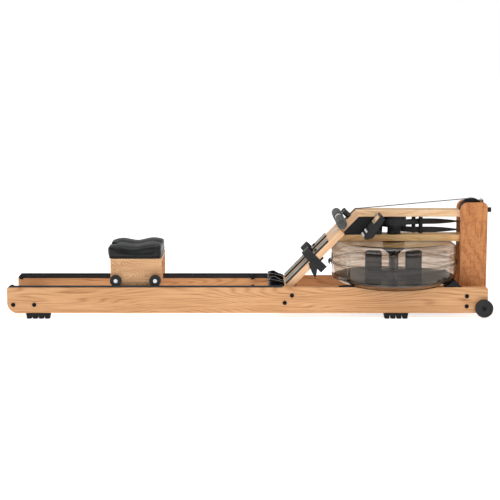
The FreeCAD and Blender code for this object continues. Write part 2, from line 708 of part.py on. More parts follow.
# ---- tank ---------------------------------------------------------------------------------
def tank_lower_profile(offset):
    """Half section of the lower bowl's surface, offset inwards, from the axis to the wall's top of curve."""
    cap = TANK_CAP_RADIUS - offset
    cap_z = TANK_BOTTOM + TANK_CAP_RADIUS
    corner_radius = TANK_CORNER - offset
    corner_r = TANK_RADIUS - TANK_CORNER
    reach = TANK_CAP_RADIUS - TANK_CORNER
    corner_z = cap_z - math.sqrt(reach ** 2 - corner_r ** 2)
    lean = math.asin(corner_r / reach)

    def on_cap(angle):
        return V(TANK_X + cap * math.sin(angle), 0, cap_z - cap * math.cos(angle))

    def on_corner(angle):
        return V(TANK_X + corner_r + corner_radius * math.sin(angle), 0, corner_z - corner_radius * math.cos(angle))

    middle = (lean + math.pi / 2) / 2
    cap_arc = Part.Arc(on_cap(0), on_cap(lean / 2), on_cap(lean)).toShape()
    corner_arc = Part.Arc(on_cap(lean), on_corner(middle), on_corner(math.pi / 2)).toShape()
    return cap_arc, corner_arc, on_cap(0), on_corner(math.pi / 2)


def lines(points):
    """Straight edges through radius and height points of the tank's section."""
    placed = [V(TANK_X + r, 0, z) for r, z in points]
    return [Part.makeLine(a, b) for a, b in zip(placed, placed[1:])]


def turn_edges(edges):
    wire = Part.Wire(Part.__sortEdges__(edges))
    return Part.Face(wire).revolve(V(TANK_X, 0, 0), V(0, 0, 1), 360)


def make_tank_lower():
    outer_cap, outer_corner, outer_low, outer_high = tank_lower_profile(0)
    inner_cap, inner_corner, inner_low, inner_high = tank_lower_profile(TANK_WALL)
    inside = TANK_RADIUS - TANK_WALL
    flange = TANK_RADIUS + TANK_FLANGE
    seam = TANK_SEAM - GASKET_THICK / 2
    rim = [(TANK_RADIUS, outer_high.z), (TANK_RADIUS, seam - TANK_FLANGE_THICK),
           (flange, seam - TANK_FLANGE_THICK), (flange, seam), (inside, seam), (inside, inner_high.z)]
    closing = lines([(0, inner_low.z), (0, outer_low.z)])
    bowl = turn_edges([outer_cap, outer_corner, inner_cap, inner_corner] + lines(rim) + closing)
    socket = rod_z(TANK_X, 0, TANK_BOTTOM + TANK_WALL - 1, SHAFT_BOTTOM + 14, SHAFT_RADIUS + 8)
    bore = rod_z(TANK_X, 0, SHAFT_BOTTOM - GAP, SHAFT_BOTTOM + 20, SHAFT_RADIUS + RUN)
    return fused(bowl, socket).cut(bore)


def make_tank_upper():
    seam = TANK_SEAM + GASKET_THICK / 2
    inside = TANK_RADIUS - TANK_WALL
    flange = TANK_RADIUS + TANK_FLANGE
    centre_r = TANK_RADIUS - TANK_TOP_CORNER
    centre_z = TANK_TOP - TANK_TOP_CORNER
    arcs = []
    for radius in (TANK_TOP_CORNER, TANK_TOP_CORNER - TANK_WALL):
        ends = [V(TANK_X + centre_r + radius * math.cos(a), 0, centre_z + radius * math.sin(a))
                for a in (0, math.pi / 4, math.pi / 2)]
        arcs.append(Part.Arc(*ends).toShape())
    outer = [(TANK_RADIUS, centre_z), (TANK_RADIUS, seam + TANK_FLANGE_THICK), (flange, seam + TANK_FLANGE_THICK),
             (flange, seam), (inside, seam), (inside, centre_z)]
    top = [(centre_r, TANK_TOP - TANK_WALL), (CONE_RADIUS, TANK_TOP - TANK_WALL), (CONE_RADIUS, TANK_TOP),
           (centre_r, TANK_TOP)]
    return turn_edges(arcs + lines(outer) + lines(top))


def make_tank_gasket():
    low = TANK_SEAM - GASKET_THICK / 2
    high = TANK_SEAM + GASKET_THICK / 2
    inner = TANK_RADIUS - TANK_WALL
    outer = TANK_RADIUS + TANK_FLANGE + 1
    return turned([(inner, low), (outer, low), (outer, high), (inner, high)], TANK_X, 0)


def tank_envelope(extra):
    """The closed tank's outside, grown by extra, for shaping what it rests on."""
    cap, corner_arc, low, high = tank_lower_profile(-extra)
    top = [(TANK_RADIUS + extra, high.z), (TANK_RADIUS + extra, TANK_TOP), (0, TANK_TOP), (0, low.z)]
    return turn_edges([cap, corner_arc] + lines(top))


def make_tank_chocks():
    """Rubber wedges on the rails that hold the tank fore and aft."""
    tank = tank_envelope(GAP)
    flange_low = TANK_SEAM - GASKET_THICK / 2 - TANK_FLANGE_THICK
    front = TANK_X + TANK_RADIUS + TANK_FLANGE
    peak = RAIL_TOP + CHOCK_HEIGHT
    assert peak < flange_low
    front = plank([(front - CHOCK_LENGTH, RAIL_TOP), (front, RAIL_TOP), (front - CHOCK_HEIGHT, peak, 2)],
                  RAIL_INNER_Y - CHOCK_LAP, RAIL_OUTER_Y - CHOCK_INSET)
    rear_end = TANK_X - SADDLE_HALF - CHOCK_LENGTH
    pad = RAIL_TOP + CHOCK_PAD
    rear = plank([(rear_end, RAIL_TOP), (TANK_X - SADDLE_HALF - 7, RAIL_TOP), (TANK_X - SADDLE_HALF - 7, pad),
                  (rear_end + 24, pad, 2), (rear_end, RAIL_TOP + CHOCK_PAD / 2, 1)],
                 RAIL_INNER_Y, RAIL_OUTER_Y - CHOCK_INSET)
    pieces = []
    for wedge in (front, rear):
        pieces += both_sides(wedge.cut(tank))
    return pieces


def make_tank_plug():
    """Filler plug and its clip at the seam, on the seat side of the tank."""
    seam_edge = TANK_X - TANK_RADIUS - TANK_FLANGE - 1
    cap = box(seam_edge - 3.5, seam_edge, -14, 14, TANK_SEAM - 15, TANK_SEAM + 9)
    ring = tank_envelope(TANK_FLANGE + 1.0)
    grip = rod((seam_edge - 6.5, 0, TANK_SEAM - 3), (1, 0, 0), 8, 5)
    return fused(cap, grip).cut(ring)


# ---- paddle, drum and straps --------------------------------------------------------------
def make_spindle_housing():
    bore = SHAFT_RADIUS + RUN
    points = [(bore, HOUSING_BOTTOM), (CONE_TIP, HOUSING_BOTTOM), (CONE_RADIUS, HOUSING_BOTTOM + CONE_HEIGHT),
              (CONE_RADIUS, TANK_TOP), (HOUSING_FLANGE, TANK_TOP), (HOUSING_FLANGE, LOWER_DECK_BOTTOM),
              (HOUSING_RADIUS, LOWER_DECK_BOTTOM), (HOUSING_RADIUS, LOWER_DECK_TOP), (bore, LOWER_DECK_TOP)]
    return turned(points, TANK_X, 0)


def make_paddle_shaft():
    return rod_z(TANK_X, 0, SHAFT_BOTTOM, SHAFT_TOP, SHAFT_RADIUS)


def make_paddle():
    """Tall blades on arms from a hub, and the neck above the hub."""
    hub = rod_z(TANK_X, 0, HUB_BOTTOM, HUB_TOP, HUB_RADIUS)
    neck = rod_z(TANK_X, 0, HUB_BOTTOM, NECK_TOP, NECK_RADIUS)
    inner = TANK_X + BLADE_INNER
    outer = TANK_X + BLADE_REACH
    blades = []
    for index in range(BLADE_COUNT):
        points = [(inner, BLADE_BOTTOM, BLADE_CORNER), (outer, BLADE_BOTTOM, BLADE_CORNER),
                  (outer, BLADE_TOP, BLADE_CORNER), (inner, BLADE_TOP, BLADE_CORNER)]
        blade = plank(points, -BLADE_THICK / 2, BLADE_THICK / 2)
        arm = box(TANK_X + HUB_RADIUS / 2, inner + ARM_THICK, -ARM_THICK / 2, ARM_THICK / 2,
                  HUB_BOTTOM, HUB_TOP)
        for piece in (blade, arm):
            piece.rotate(V(TANK_X, 0, 0), V(0, 0, 1), BLADE_TURN + index * 360 / BLADE_COUNT)
            blades.append(piece)
    return fused(hub, neck, *blades).cut(make_paddle_shaft())


def make_drive_drum():
    bore = SHAFT_RADIUS + RUN
    half = STRAP_WIDTH / 2 + 1
    points = [(bore, BOBBIN_BOTTOM), (BOBBIN_RADIUS, BOBBIN_BOTTOM), (BOBBIN_RADIUS, RECOIL_Z - half),
              (BOBBIN_FLOOR, RECOIL_Z - half), (BOBBIN_FLOOR, RECOIL_Z + half), (BOBBIN_RADIUS, RECOIL_Z + half),
              (BOBBIN_RADIUS, DRUM_BOTTOM), (DRUM_RADIUS, DRUM_BOTTOM), (DRUM_RADIUS, STRAP_Z - half),
              (DRUM_FLOOR, STRAP_Z - half), (DRUM_FLOOR, STRAP_Z + half), (DRUM_RADIUS, STRAP_Z + half),
              (DRUM_RADIUS, DECK_BOTTOM - 1.5), (bore, DECK_BOTTOM - 1.5)]
    return turned(points, TANK_X, 0)


def make_roller(x, y):
    points = [(ROLLER_AXLE + RUN, ROLLER_BOTTOM), (ROLLER_RADIUS, ROLLER_BOTTOM), (ROLLER_RADIUS, ROLLER_TOP),
              (ROLLER_AXLE + RUN, ROLLER_TOP)]
    return turned(points, x, y)


def make_pulley(z, radius, width):
    half = width / 2
    groove = STRAP_WIDTH / 2 + 1
    floor = radius - GROOVE_DEPTH
    bore = PULLEY_AXLE + RUN
    points = [(bore, -half), (radius, -half), (radius, -groove), (floor, -groove), (floor, groove),
              (radius, groove), (radius, half), (bore, half)]
    return turned_y(points, PULLEY_X, z)


def belt_run(start, end, z):
    """A straight stretch of strap standing on edge, from start to end in plan."""
    points = band([start, end], STRAP_THICK)
    return slab(points, z - STRAP_WIDTH / 2, z + STRAP_WIDTH / 2)


def strap_arc(centre, radius, first, last, place):
    """Face of a strap's edge, wrapped at radius about centre between two angles in degrees."""
    def at(reach, degrees):
        angle = math.radians(degrees)
        return place(centre[0] + reach * math.cos(angle), centre[1] + reach * math.sin(angle))

    middle = (first + last) / 2
    arcs = []
    for reach in (radius - STRAP_THICK / 2, radius + STRAP_THICK / 2):
        arcs.append(Part.Arc(at(reach, first), at(reach, middle), at(reach, last)).toShape())
    closing = [Part.makeLine(at(radius - STRAP_THICK / 2, end), at(radius + STRAP_THICK / 2, end))
               for end in (first, last)]
    return Part.Face(Part.Wire(Part.__sortEdges__(arcs + closing)))


def belt_wrap(x, y, z, radius, first, last):
    """A strap standing on edge, wrapped round a vertical axis between two angles."""
    face = strap_arc((x, y), radius, first, last, xy(z - STRAP_WIDTH / 2))
    return face.extrude(V(0, 0, STRAP_WIDTH))


def pulley_wrap(z, radius, first, last):
    """A flat strap wrapped round a pulley, between two angles above the front."""
    face = strap_arc((PULLEY_X, z), radius, first, last, xz(-STRAP_WIDTH / 2))
    return face.extrude(V(0, STRAP_WIDTH, 0))


def flat_run(z):
    """The straps' flat stretch under the pulleys."""
    half = STRAP_WIDTH / 2
    return box(FLAT_END_X, PULLEY_X, -half, half, z - STRAP_THICK / 2, z + STRAP_THICK / 2)


def twisted_run(z):
    """A quarter twist, from flat to standing on edge."""
    sections = []
    steps = 6
    for index in range(steps + 1):
        share = index / steps
        angle = share * math.pi / 2
        wide = V(0, math.cos(angle), math.sin(angle)) * (STRAP_WIDTH / 2)
        thin = V(0, -math.sin(angle), math.cos(angle)) * (STRAP_THICK / 2)
        centre = V(FLAT_END_X + (TWIST_END_X - FLAT_END_X) * share, 0, z)
        corners = [centre + wide + thin, centre - wide + thin, centre - wide - thin, centre + wide - thin]
        sections.append(Part.makePolygon(corners + corners[:1]))
    return Part.makeLoft(sections, True, True)


def roller_turn(roller_x, drum_radius):
    """Angle a strap turns through at its guide roller to reach the drum's far side."""
    back = roller_x - TANK_X
    reach = math.hypot(back, ROLLER_STRAP)
    return math.asin((drum_radius + ROLLER_STRAP) / reach) - math.atan2(ROLLER_STRAP, back)


def belt_path(roller_x, side, drum_radius, z, wrap):
    """Strap from the twist to the drum: past the roller, and round the drum. side is the drum's side."""
    turn = roller_turn(roller_x, drum_radius)
    roller_y = side * ROLLER_STRAP
    leave = (roller_x - ROLLER_STRAP * math.sin(turn), roller_y - side * ROLLER_STRAP * math.cos(turn))
    meet = (TANK_X + drum_radius * math.sin(turn), side * drum_radius * math.cos(turn))
    straight = belt_run((TWIST_END_X, 0), (roller_x, 0), z)
    slope = belt_run(leave, meet, z)
    degrees = math.degrees(turn)
    if side < 0:
        bend = belt_wrap(roller_x, roller_y, z, ROLLER_STRAP, 90, 90 + degrees)
        coil = belt_wrap(TANK_X, 0, z, drum_radius, -90 + degrees - wrap, -90 + degrees)
    else:
        bend = belt_wrap(roller_x, roller_y, z, ROLLER_STRAP, -90 - degrees, -90)
        coil = belt_wrap(TANK_X, 0, z, drum_radius, 90 - degrees, 90 - degrees + wrap)
    return [straight, bend, slope, coil]


def make_drive_strap():
    """Free run of the drive strap: from the handle, up the board and over its top corner, to the pulley."""
    handle_along = ((HANDLE_X - BOARD_FOOT_X) * math.cos(math.radians(BOARD_ANGLE))
                    + (HANDLE_Z - BOARD_FOOT_Z) * math.sin(math.radians(BOARD_ANGLE)))
    start = board(handle_along - SLEEVE_RADIUS / 2, STRAP_RISE)
    touch = board(handle_along + GRIP_RADIUS, STRAP_LIFT)
    outer = mitre_points()[0]
    bend = (outer[0] - 0.6, outer[1] + STRAP_LIFT + 0.9)
    away = math.hypot(PULLEY_X - bend[0], PULLEY_Z - bend[1])
    rise = math.atan2(PULLEY_Z - bend[1], PULLEY_X - bend[0]) + math.asin(PULLEY_STRAP / away)
    end = (PULLEY_X - PULLEY_STRAP * math.sin(rise), PULLEY_Z + PULLEY_STRAP * math.cos(rise))
    return plank(band([start, (*touch, 30), (*bend, 9), end], STRAP_THICK), -STRAP_WIDTH / 2, STRAP_WIDTH / 2), rise


def make_drive_strap_inner():
    rise = make_drive_strap()[1]
    wrap = pulley_wrap(PULLEY_Z, PULLEY_STRAP, -90, 90 + math.degrees(rise) - 0.2)
    return [wrap, flat_run(STRAP_Z), twisted_run(STRAP_Z)] + belt_path(FRONT_ROLLER_X, -1, DRUM_STRAP, STRAP_Z, 300)


def make_recoil_strap():
    wrap = pulley_wrap(RECOIL_PULLEY_Z, RECOIL_STRAP, 0, 90)
    front = PULLEY_X + RECOIL_STRAP
    drop = box(front - STRAP_THICK / 2, front + STRAP_THICK / 2, -STRAP_WIDTH / 2, STRAP_WIDTH / 2,
               BUNGEE_TOP, RECOIL_PULLEY_Z)
    return [wrap, flat_run(RECOIL_Z), twisted_run(RECOIL_Z), drop] + belt_path(REAR_ROLLER_X, 1, BOBBIN_STRAP, RECOIL_Z, 300)


def make_bungee_cord():
    """Elastic return cord between the legs, from the recoil strap down to the front spreader."""
    return rod_z(PULLEY_X + RECOIL_STRAP, 0, SPREADER_TOP, BUNGEE_TOP, BUNGEE_RADIUS)


def make_belt_keeper():
    return box(KEEPER_X, KEEPER_X + KEEPER_THICK, -LEG_INNER_Y, LEG_INNER_Y, KEEPER_BOTTOM, KEEPER_TOP)


# ---- handle -------------------------------------------------------------------------------
def make_handle_bar():
    half = HANDLE_LENGTH / 2 - 4
    return rod_y(HANDLE_X, HANDLE_Z, -half, half, HANDLE_TUBE)


def make_handle_grips():
    inner = SLEEVE_LENGTH / 2
    outer = HANDLE_LENGTH / 2
    grip = rod_y(HANDLE_X, HANDLE_Z, inner, outer, GRIP_RADIUS)
    end = [e for e in grip.Edges if e.BoundBox.YMin > outer - 0.1]
    grip = grip.makeFillet(GRIP_END, end).cut(make_handle_bar())
    return both_sides(grip)


def make_handle_sleeve():
    half = SLEEVE_LENGTH / 2
    return rod_y(HANDLE_X, HANDLE_Z, -half, half, SLEEVE_RADIUS).cut(make_handle_bar())


def make_handle_rests():
    """Two pegs on the board that hold the handle against the pull of the return cord."""
    x, z = board(PEG_ALONG, 0)
    angle = math.radians(BOARD_ANGLE)
    peg = rod((x, PEG_Y, z), (-math.sin(angle), 0, math.cos(angle)), PEG_RADIUS, PEG_LENGTH)
    top = max(peg.Edges, key=lambda e: e.CenterOfMass.z if e.Curve.TypeId == "Part::GeomCircle" else 0)
    return both_sides(peg.makeFillet(5, [top]))


# ---- foot rests ---------------------------------------------------------------------------
def make_foot_plate():
    low = PLATE_LOW
    corners = block(low, PLATE_TOP, GAP, GAP + PLATE_THICK)
    return board_plank(corners, PLATE_INNER_Y, PLATE_OUTER_Y)


def make_heel_cup():
    top = CUP_BOTTOM + CUP_HEIGHT
    points = [(CUP_REAR_X, CUP_BOTTOM, CUP_WALL), (CUP_FRONT_X - CUP_CHAMFER, CUP_BOTTOM),
              (CUP_FRONT_X, CUP_BOTTOM + CUP_CHAMFER), (CUP_FRONT_X, top), (CUP_REAR_X, top, CUP_WALL)]
    cup = plank(points, PLATE_INNER_Y, PLATE_OUTER_Y)
    inside = box(CUP_REAR_X + CUP_WALL, CUP_FRONT_X + 1, PLATE_INNER_Y + CUP_WALL, PLATE_OUTER_Y - CUP_WALL,
                 CUP_BOTTOM + CUP_WALL, top + 1)
    plate_low = board_plank(block(-30, 90, -20, GAP + PLATE_THICK), 0, 200)
    return cup.cut([inside, plate_low])


def make_plate_guides():
    """Narrow strips on the board beside each foot plate."""
    strips = []
    for y in (PLATE_INNER_Y - 0.4 - GUIDE_WIDTH, PLATE_OUTER_Y + 0.4):
        strips += both_sides(board_plank(block(PLATE_LOW, PLATE_TOP, 0, GUIDE_HEIGHT), y, y + GUIDE_WIDTH))
    return strips


def make_toe_straps():
    """Webbing bands over the foot plates, each with a pointed free tail."""
    side = BOARD_WIDTH / 2 + 2.2
    root = PLATE_INNER_Y - TOE_ROOT
    path = [(root, TOE_THICK / 2), (root, TOE_RISE, 10), (PLATE_INNER_Y + TOE_ROUND, TOE_HEIGHT, TOE_ROUND),
            (PLATE_OUTER_Y - TOE_ROUND, TOE_HEIGHT, TOE_ROUND), (side, TOE_RISE, 14), (side, -TOE_TAIL_BELOW)]

    def place(y, up):
        x, z = board(TOE_ALONG, up)
        return V(x, y, z)

    angle = math.radians(BOARD_ANGLE)
    sweep = V(math.cos(angle), 0, math.sin(angle)) * TOE_WIDTH
    arch = Part.Face(outline(band(path, TOE_THICK), place)).extrude(sweep)
    inner = side + TOE_THICK / 2 + EDGE
    tail = board_plank([(TOE_ALONG + along, up) for along, up in TOE_TAIL], inner, inner + TOE_THICK)
    return both_sides(arch) + both_sides(tail)


# ---- seat ---------------------------------------------------------------------------------
def make_seat_pad():
    half = SEAT_WIDTH / 2
    front = SEAT_REAR_X + SEAT_LENGTH
    middle = SEAT_REAR_X + SEAT_LENGTH / 2
    points = [(SEAT_REAR_X, -half, SEAT_CORNER), (front, -half, SEAT_CORNER), (front, half, SEAT_CORNER),
              (SEAT_REAR_X, half, SEAT_CORNER), (SEAT_REAR_X, NOTCH_HALF, NOTCH_HALF / 2),
              (SEAT_REAR_X + NOTCH_DEPTH, 0, NOTCH_HALF * 0.4), (SEAT_REAR_X, -NOTCH_HALF, NOTCH_HALF / 2)]
    lower = slab(points, SEAT_BOTTOM, SEAT_BOTTOM + SEAT_SIDE)
    inset = [(p[0] + (SEAT_INSET if p[0] < middle else -SEAT_INSET), p[1] * (half - SEAT_INSET) / half, p[2])
             for p in points]
    upper = slab(inset, SEAT_BOTTOM + SEAT_SIDE, SEAT_BOTTOM + SEAT_SIDE + SEAT_CROWN)
    return fused(lower, upper)


def socket(x, z, y):
    """Hexagon recess in a bolt head whose outer face is at y."""
    corners = [(x + SOCKET_RADIUS * math.cos(math.radians(60 * side)),
                z + SOCKET_RADIUS * math.sin(math.radians(60 * side))) for side in range(6)]
    return plank(corners, y - SOCKET_DEPTH, y + 1)


def seat_bolt_shank(x):
    return rod_y(x, SEAT_WHEEL_Z, PANEL_OUTER_Y - PANEL_THICK, SEAT_WHEEL_Y + SEAT_WHEEL_WIDTH / 2 + 0.6, SEAT_BOLT)


def make_seat_chassis():
    """Two side panels, the board under the pad, and the guide strips that run between the stops."""
    x0 = PANEL_REAR_X
    x1 = PANEL_REAR_X + PANEL_LENGTH
    inner = PANEL_OUTER_Y - PANEL_THICK
    panel = eased_rims(box(x0, x1, inner, PANEL_OUTER_Y, PANEL_BOTTOM, PANEL_TOP), SMALL_EASE)
    panel = panel.cut([seat_bolt_shank(x) for x in SEAT_WHEEL_XS.values()])
    middle = (x0 + x1) / 2
    strip = box(middle - STRIP_LENGTH / 2, middle + STRIP_LENGTH / 2, PANEL_OUTER_Y - STRIP_THICK, PANEL_OUTER_Y,
                PANEL_BOTTOM - STRIP_DEPTH, PANEL_BOTTOM)
    board_piece = box(x0, x1, -inner, inner, PANEL_TOP - SEAT_BOARD_THICK, PANEL_TOP)
    return both_sides(panel) + both_sides(strip) + [board_piece]


def make_seat_wheel(x, side):
    profile = wheel_profile(SEAT_WHEEL_RADIUS, SEAT_BOLT + RUN, SEAT_WHEEL_WIDTH, SEAT_WHEEL_RADIUS - 6, 2)
    wheel = turned_y(profile, x, SEAT_WHEEL_Z)
    wheel.translate(V(0, SEAT_WHEEL_Y, 0))
    return on_side(wheel, side)


def make_seat_bolts():
    """Shoulder bolts that carry the seat wheels: shank, spacer and head."""
    bolts = []
    wheel_inner = SEAT_WHEEL_Y - SEAT_WHEEL_WIDTH / 2
    wheel_outer = SEAT_WHEEL_Y + SEAT_WHEEL_WIDTH / 2
    for x in SEAT_WHEEL_XS.values():
        spacer = rod_y(x, SEAT_WHEEL_Z, PANEL_OUTER_Y, wheel_inner - GAP, SEAT_BOLT + 4)
        cap = wheel_outer + GAP + SEAT_BOLT_HEAD_THICK
        head = rod_y(x, SEAT_WHEEL_Z, wheel_outer + GAP, cap, SEAT_BOLT_HEAD)
        bolts += both_sides(fused(seat_bolt_shank(x), spacer, head).cut(socket(x, SEAT_WHEEL_Z, cap)))
    return bolts


# ---- transport wheels and fasteners ---------------------------------------------------------
def transport_inner_y():
    return RAIL_OUTER_Y + 1.5


def make_transport_wheel(side):
    profile = wheel_profile(TRANSPORT_RADIUS, TRANSPORT_AXLE + RUN, TRANSPORT_WIDTH, TRANSPORT_RADIUS - 9, 3)
    wheel = turned_y(profile, TRANSPORT_X, TRANSPORT_Z)
    wheel.translate(V(0, transport_inner_y() + TRANSPORT_WIDTH / 2, 0))
    return on_side(wheel, side)


def make_frame_bolts():
    """Rail bolts, transport wheel bolts, the leg screws and the deck bolt, each a solid."""
    pieces = []
    for (x, z), shank in zip(RAIL_BOLTS, rail_bolt_shanks()):
        cap = RAIL_OUTER_Y + RAIL_BOLT_HEAD_THICK
        head = rod_y(x, z, RAIL_OUTER_Y, cap, RAIL_BOLT_HEAD)
        pieces += both_sides(fused(shank, head).cut(socket(x, z, cap)))
    outer = transport_inner_y() + TRANSPORT_WIDTH + GAP
    axle = rod_y(TRANSPORT_X, TRANSPORT_Z, RAIL_INNER_Y, outer, TRANSPORT_AXLE)
    cap = rod_y(TRANSPORT_X, TRANSPORT_Z, outer, outer + 2.5, TRANSPORT_HEAD)
    pieces += both_sides(fused(axle, cap))
    pieces += both_sides(fused(*leg_screws()))
    pieces.append(fused(*deck_bolt()))
    return pieces


# ---- monitor ------------------------------------------------------------------------------
def key_corners(index, bottom, top, extra):
    low = KEY_LOW + index * KEY_PITCH - extra
    return block(low, low + KEY_TALL + 2 * extra, bottom, top)


def make_monitor_case():
    half = MONITOR_THICK / 2
    tall = MONITOR_TALL / 2
    outside = [(-tall, half, MONITOR_LIP), (MONITOR_CHIN - tall, -MONITOR_BACK_LOW, MONITOR_SOFT),
               (tall - 2, -MONITOR_BACK_TOP, 6), (tall, half, 3)]
    body = eased_rims(monitor_block(outside, MONITOR_NEAR_Y, MONITOR_FAR_Y), EASE)
    pockets = [monitor_block(key_corners(index, half - POCKET_DEPTH, half + 5, EDGE),
                             MONITOR_NEAR_Y + KEY_INSET - EDGE, MONITOR_FAR_Y - KEY_INSET + EDGE)
               for index in range(2)]
    ears = []
    for y in (MONITOR_NEAR_Y + EAR_NEAR_INSET, MONITOR_FAR_Y - EAR_FAR_INSET):
        reach = -MONITOR_PIVOT - EAR_RADIUS
        ears.append(monitor_block([(-EAR_RADIUS, 0), (EAR_RADIUS, 0), (EAR_RADIUS, reach, EAR_RADIUS - 2),
                                   (-EAR_RADIUS, reach, EAR_RADIUS - 2)], y, y + EAR_THICK))
    bore = rod_y(*monitor(0, -MONITOR_PIVOT), MONITOR_NEAR_Y, MONITOR_FAR_Y, MONITOR_ROD + RUN)
    return fused(body.cut(pockets), *ears).cut(bore)


def make_monitor_screen():
    half = MONITOR_THICK / 2
    return monitor_block(block(SCREEN_LOW, SCREEN_HIGH, half, half + SCREEN_PROUD), MONITOR_NEAR_Y + SCREEN_INSET,
                         MONITOR_FAR_Y - SCREEN_INSET)


def make_monitor_key(index):
    half = MONITOR_THICK / 2
    bottom = half - POCKET_DEPTH + KEY_TRAVEL + EDGE
    return monitor_block(key_corners(index, bottom, half + KEY_PROUD, 0), MONITOR_NEAR_Y + KEY_INSET,
                         MONITOR_FAR_Y - KEY_INSET)


def make_monitor_arm():
    x, z = monitor(0, -MONITOR_PIVOT)
    outer = -DECK_HALF - ARM_PLATE
    front = x + ARM_SHIFT + ARM_HALF
    plate = box(x + ARM_SHIFT - ARM_HALF, front, outer, -DECK_HALF, z - ARM_HALF, DECK_TOP - ARM_DROP)
    foot = box(x - MONITOR_ROD - 2, front, outer, -DECK_HALF, z - ARM_HALF, z + ARM_HALF)
    return fused(plate, foot, rod_y(x, z, MONITOR_NEAR_Y + EAR_NEAR_INSET - 2, outer, MONITOR_ROD))


# ---- assembly -----------------------------------------------------------------------------
def build():
    nodes = {
        "rubber_stops": make_rubber_stops(),
        "feet": make_feet(),
        "rear_spreader": [make_rear_spreader()],
        "front_spreaders": make_front_spreaders(),
        "foot_spreader": [make_foot_spreader()],
        "footboard": [make_footboard()],
        "badge": [make_badge()],
        "upper_deck": [make_upper_deck()],
        "lower_deck": [make_lower_deck()],
        "belt_guards": make_belt_guards(),
        "tank_upper": [make_tank_upper()],
        "tank_lower": [make_tank_lower()],
        "tank_gasket": [make_tank_gasket()],
        "tank_plug": [make_tank_plug()],
        "tank_chocks": make_tank_chocks(),
        "spindle_housing": [make_spindle_housing()],
        "paddle_shaft": [make_paddle_shaft()],
        "paddle": [make_paddle()],
        "drive_drum": [make_drive_drum()],
        "drive_strap": [make_drive_strap()[0]],
        "drive_strap_inner": make_drive_strap_inner(),
        "recoil_strap": make_recoil_strap(),
        "bungee_cord": [make_bungee_cord()],
        "guide_roller_front": [make_roller(FRONT_ROLLER_X, -ROLLER_STRAP)],
        "guide_roller_rear": [make_roller(REAR_ROLLER_X, ROLLER_STRAP)],
        "pulley_axles": pulley_axles(),
        "front_pulley": [make_pulley(PULLEY_Z, PULLEY_RADIUS, PULLEY_WIDTH)],
        "recoil_pulley": [make_pulley(RECOIL_PULLEY_Z, RECOIL_PULLEY_RADIUS, PULLEY_WIDTH)],
        "belt_keeper": [make_belt_keeper()],
        "handle_bar": [make_handle_bar()],
        "handle_grips": make_handle_grips(),
        "handle_sleeve": [make_handle_sleeve()],
        "handle_rests": make_handle_rests(),
        "plate_guides": make_plate_guides(),
        "toe_straps": make_toe_straps(),
        "seat_pad": [make_seat_pad()],
        "seat_chassis": make_seat_chassis(),
        "seat_wheel_bolts": make_seat_bolts(),
        "frame_bolts": make_frame_bolts(),
        "monitor_case": [make_monitor_case()],
        "monitor_screen": [make_monitor_screen()],
        "monitor_key_lower": [make_monitor_key(0)],
        "monitor_key_upper": [make_monitor_key(1)],
        "monitor_arm": [make_monitor_arm()],
    }
    for name, side in SIDES.items():
        nodes[name + "_rail"] = [on_side(make_rail(), side)]
        nodes[name + "_track"] = [on_side(make_track(), side)]
        nodes[name + "_leg"] = [on_side(make_leg(), side)]
        nodes[name + "_foot_plate"] = [on_side(make_foot_plate(), side)]
        nodes[name + "_heel_cup"] = [on_side(make_heel_cup(), side)]
        nodes[name + "_transport_wheel"] = [make_transport_wheel(side)]
        for end, x in SEAT_WHEEL_XS.items():
            nodes["seat_wheel_" + end + "_" + name] = [make_seat_wheel(x, side)]
    return nodes


def write(nodes):
    os.makedirs("parts", exist_ok=True)
    for name, pieces in nodes.items():
        solids = []
        for piece in pieces:
            solids += piece.Solids
        shape = solids[0] if len(solids) == 1 else Part.makeCompound(solids)
        bad = [s for s in solids if not s.isValid()]
        print(name, len(solids), "solids", "INVALID" if bad else "")
        shape.exportStep("parts/" + name + ".step")


write(build())
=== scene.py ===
import math

import bmesh
import bpy
from mathutils import Matrix, Vector


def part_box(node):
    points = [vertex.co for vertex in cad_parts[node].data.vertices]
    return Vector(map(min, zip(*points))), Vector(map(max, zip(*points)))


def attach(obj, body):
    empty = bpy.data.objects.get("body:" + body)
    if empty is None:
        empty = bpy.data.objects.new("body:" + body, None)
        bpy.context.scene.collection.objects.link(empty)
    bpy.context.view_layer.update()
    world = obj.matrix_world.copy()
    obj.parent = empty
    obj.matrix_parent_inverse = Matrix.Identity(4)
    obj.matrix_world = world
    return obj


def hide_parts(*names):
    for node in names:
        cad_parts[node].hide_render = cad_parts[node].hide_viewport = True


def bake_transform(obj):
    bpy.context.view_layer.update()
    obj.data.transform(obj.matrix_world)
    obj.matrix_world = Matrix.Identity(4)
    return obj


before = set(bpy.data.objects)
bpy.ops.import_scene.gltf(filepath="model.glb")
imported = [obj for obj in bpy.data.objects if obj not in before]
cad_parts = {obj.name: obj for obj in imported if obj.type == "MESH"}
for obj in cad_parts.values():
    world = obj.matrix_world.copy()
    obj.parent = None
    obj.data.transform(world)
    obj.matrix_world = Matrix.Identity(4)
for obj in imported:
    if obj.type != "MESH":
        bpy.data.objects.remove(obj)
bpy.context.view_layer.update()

# Looks of the wooden water rowing machine. Metres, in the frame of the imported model:
# +X from the seat end to the tank end, +Y to the rower's left, +Z up.

MM = 0.001

BOARD_ANGLE = math.radians(45.7)
BOARD = (Vector((math.cos(BOARD_ANGLE), 0, math.sin(BOARD_ANGLE))),
         Vector((-math.sin(BOARD_ANGLE), 0, math.cos(BOARD_ANGLE))))
MONITOR_ANGLE = math.radians(51)
MONITOR = (Vector((math.cos(MONITOR_ANGLE), 0, math.sin(MONITOR_ANGLE))),
           Vector((-math.sin(MONITOR_ANGLE), 0, math.cos(MONITOR_ANGLE))))
SIDES = {"right": -1, "left": 1}
SHARP = math.radians(32)


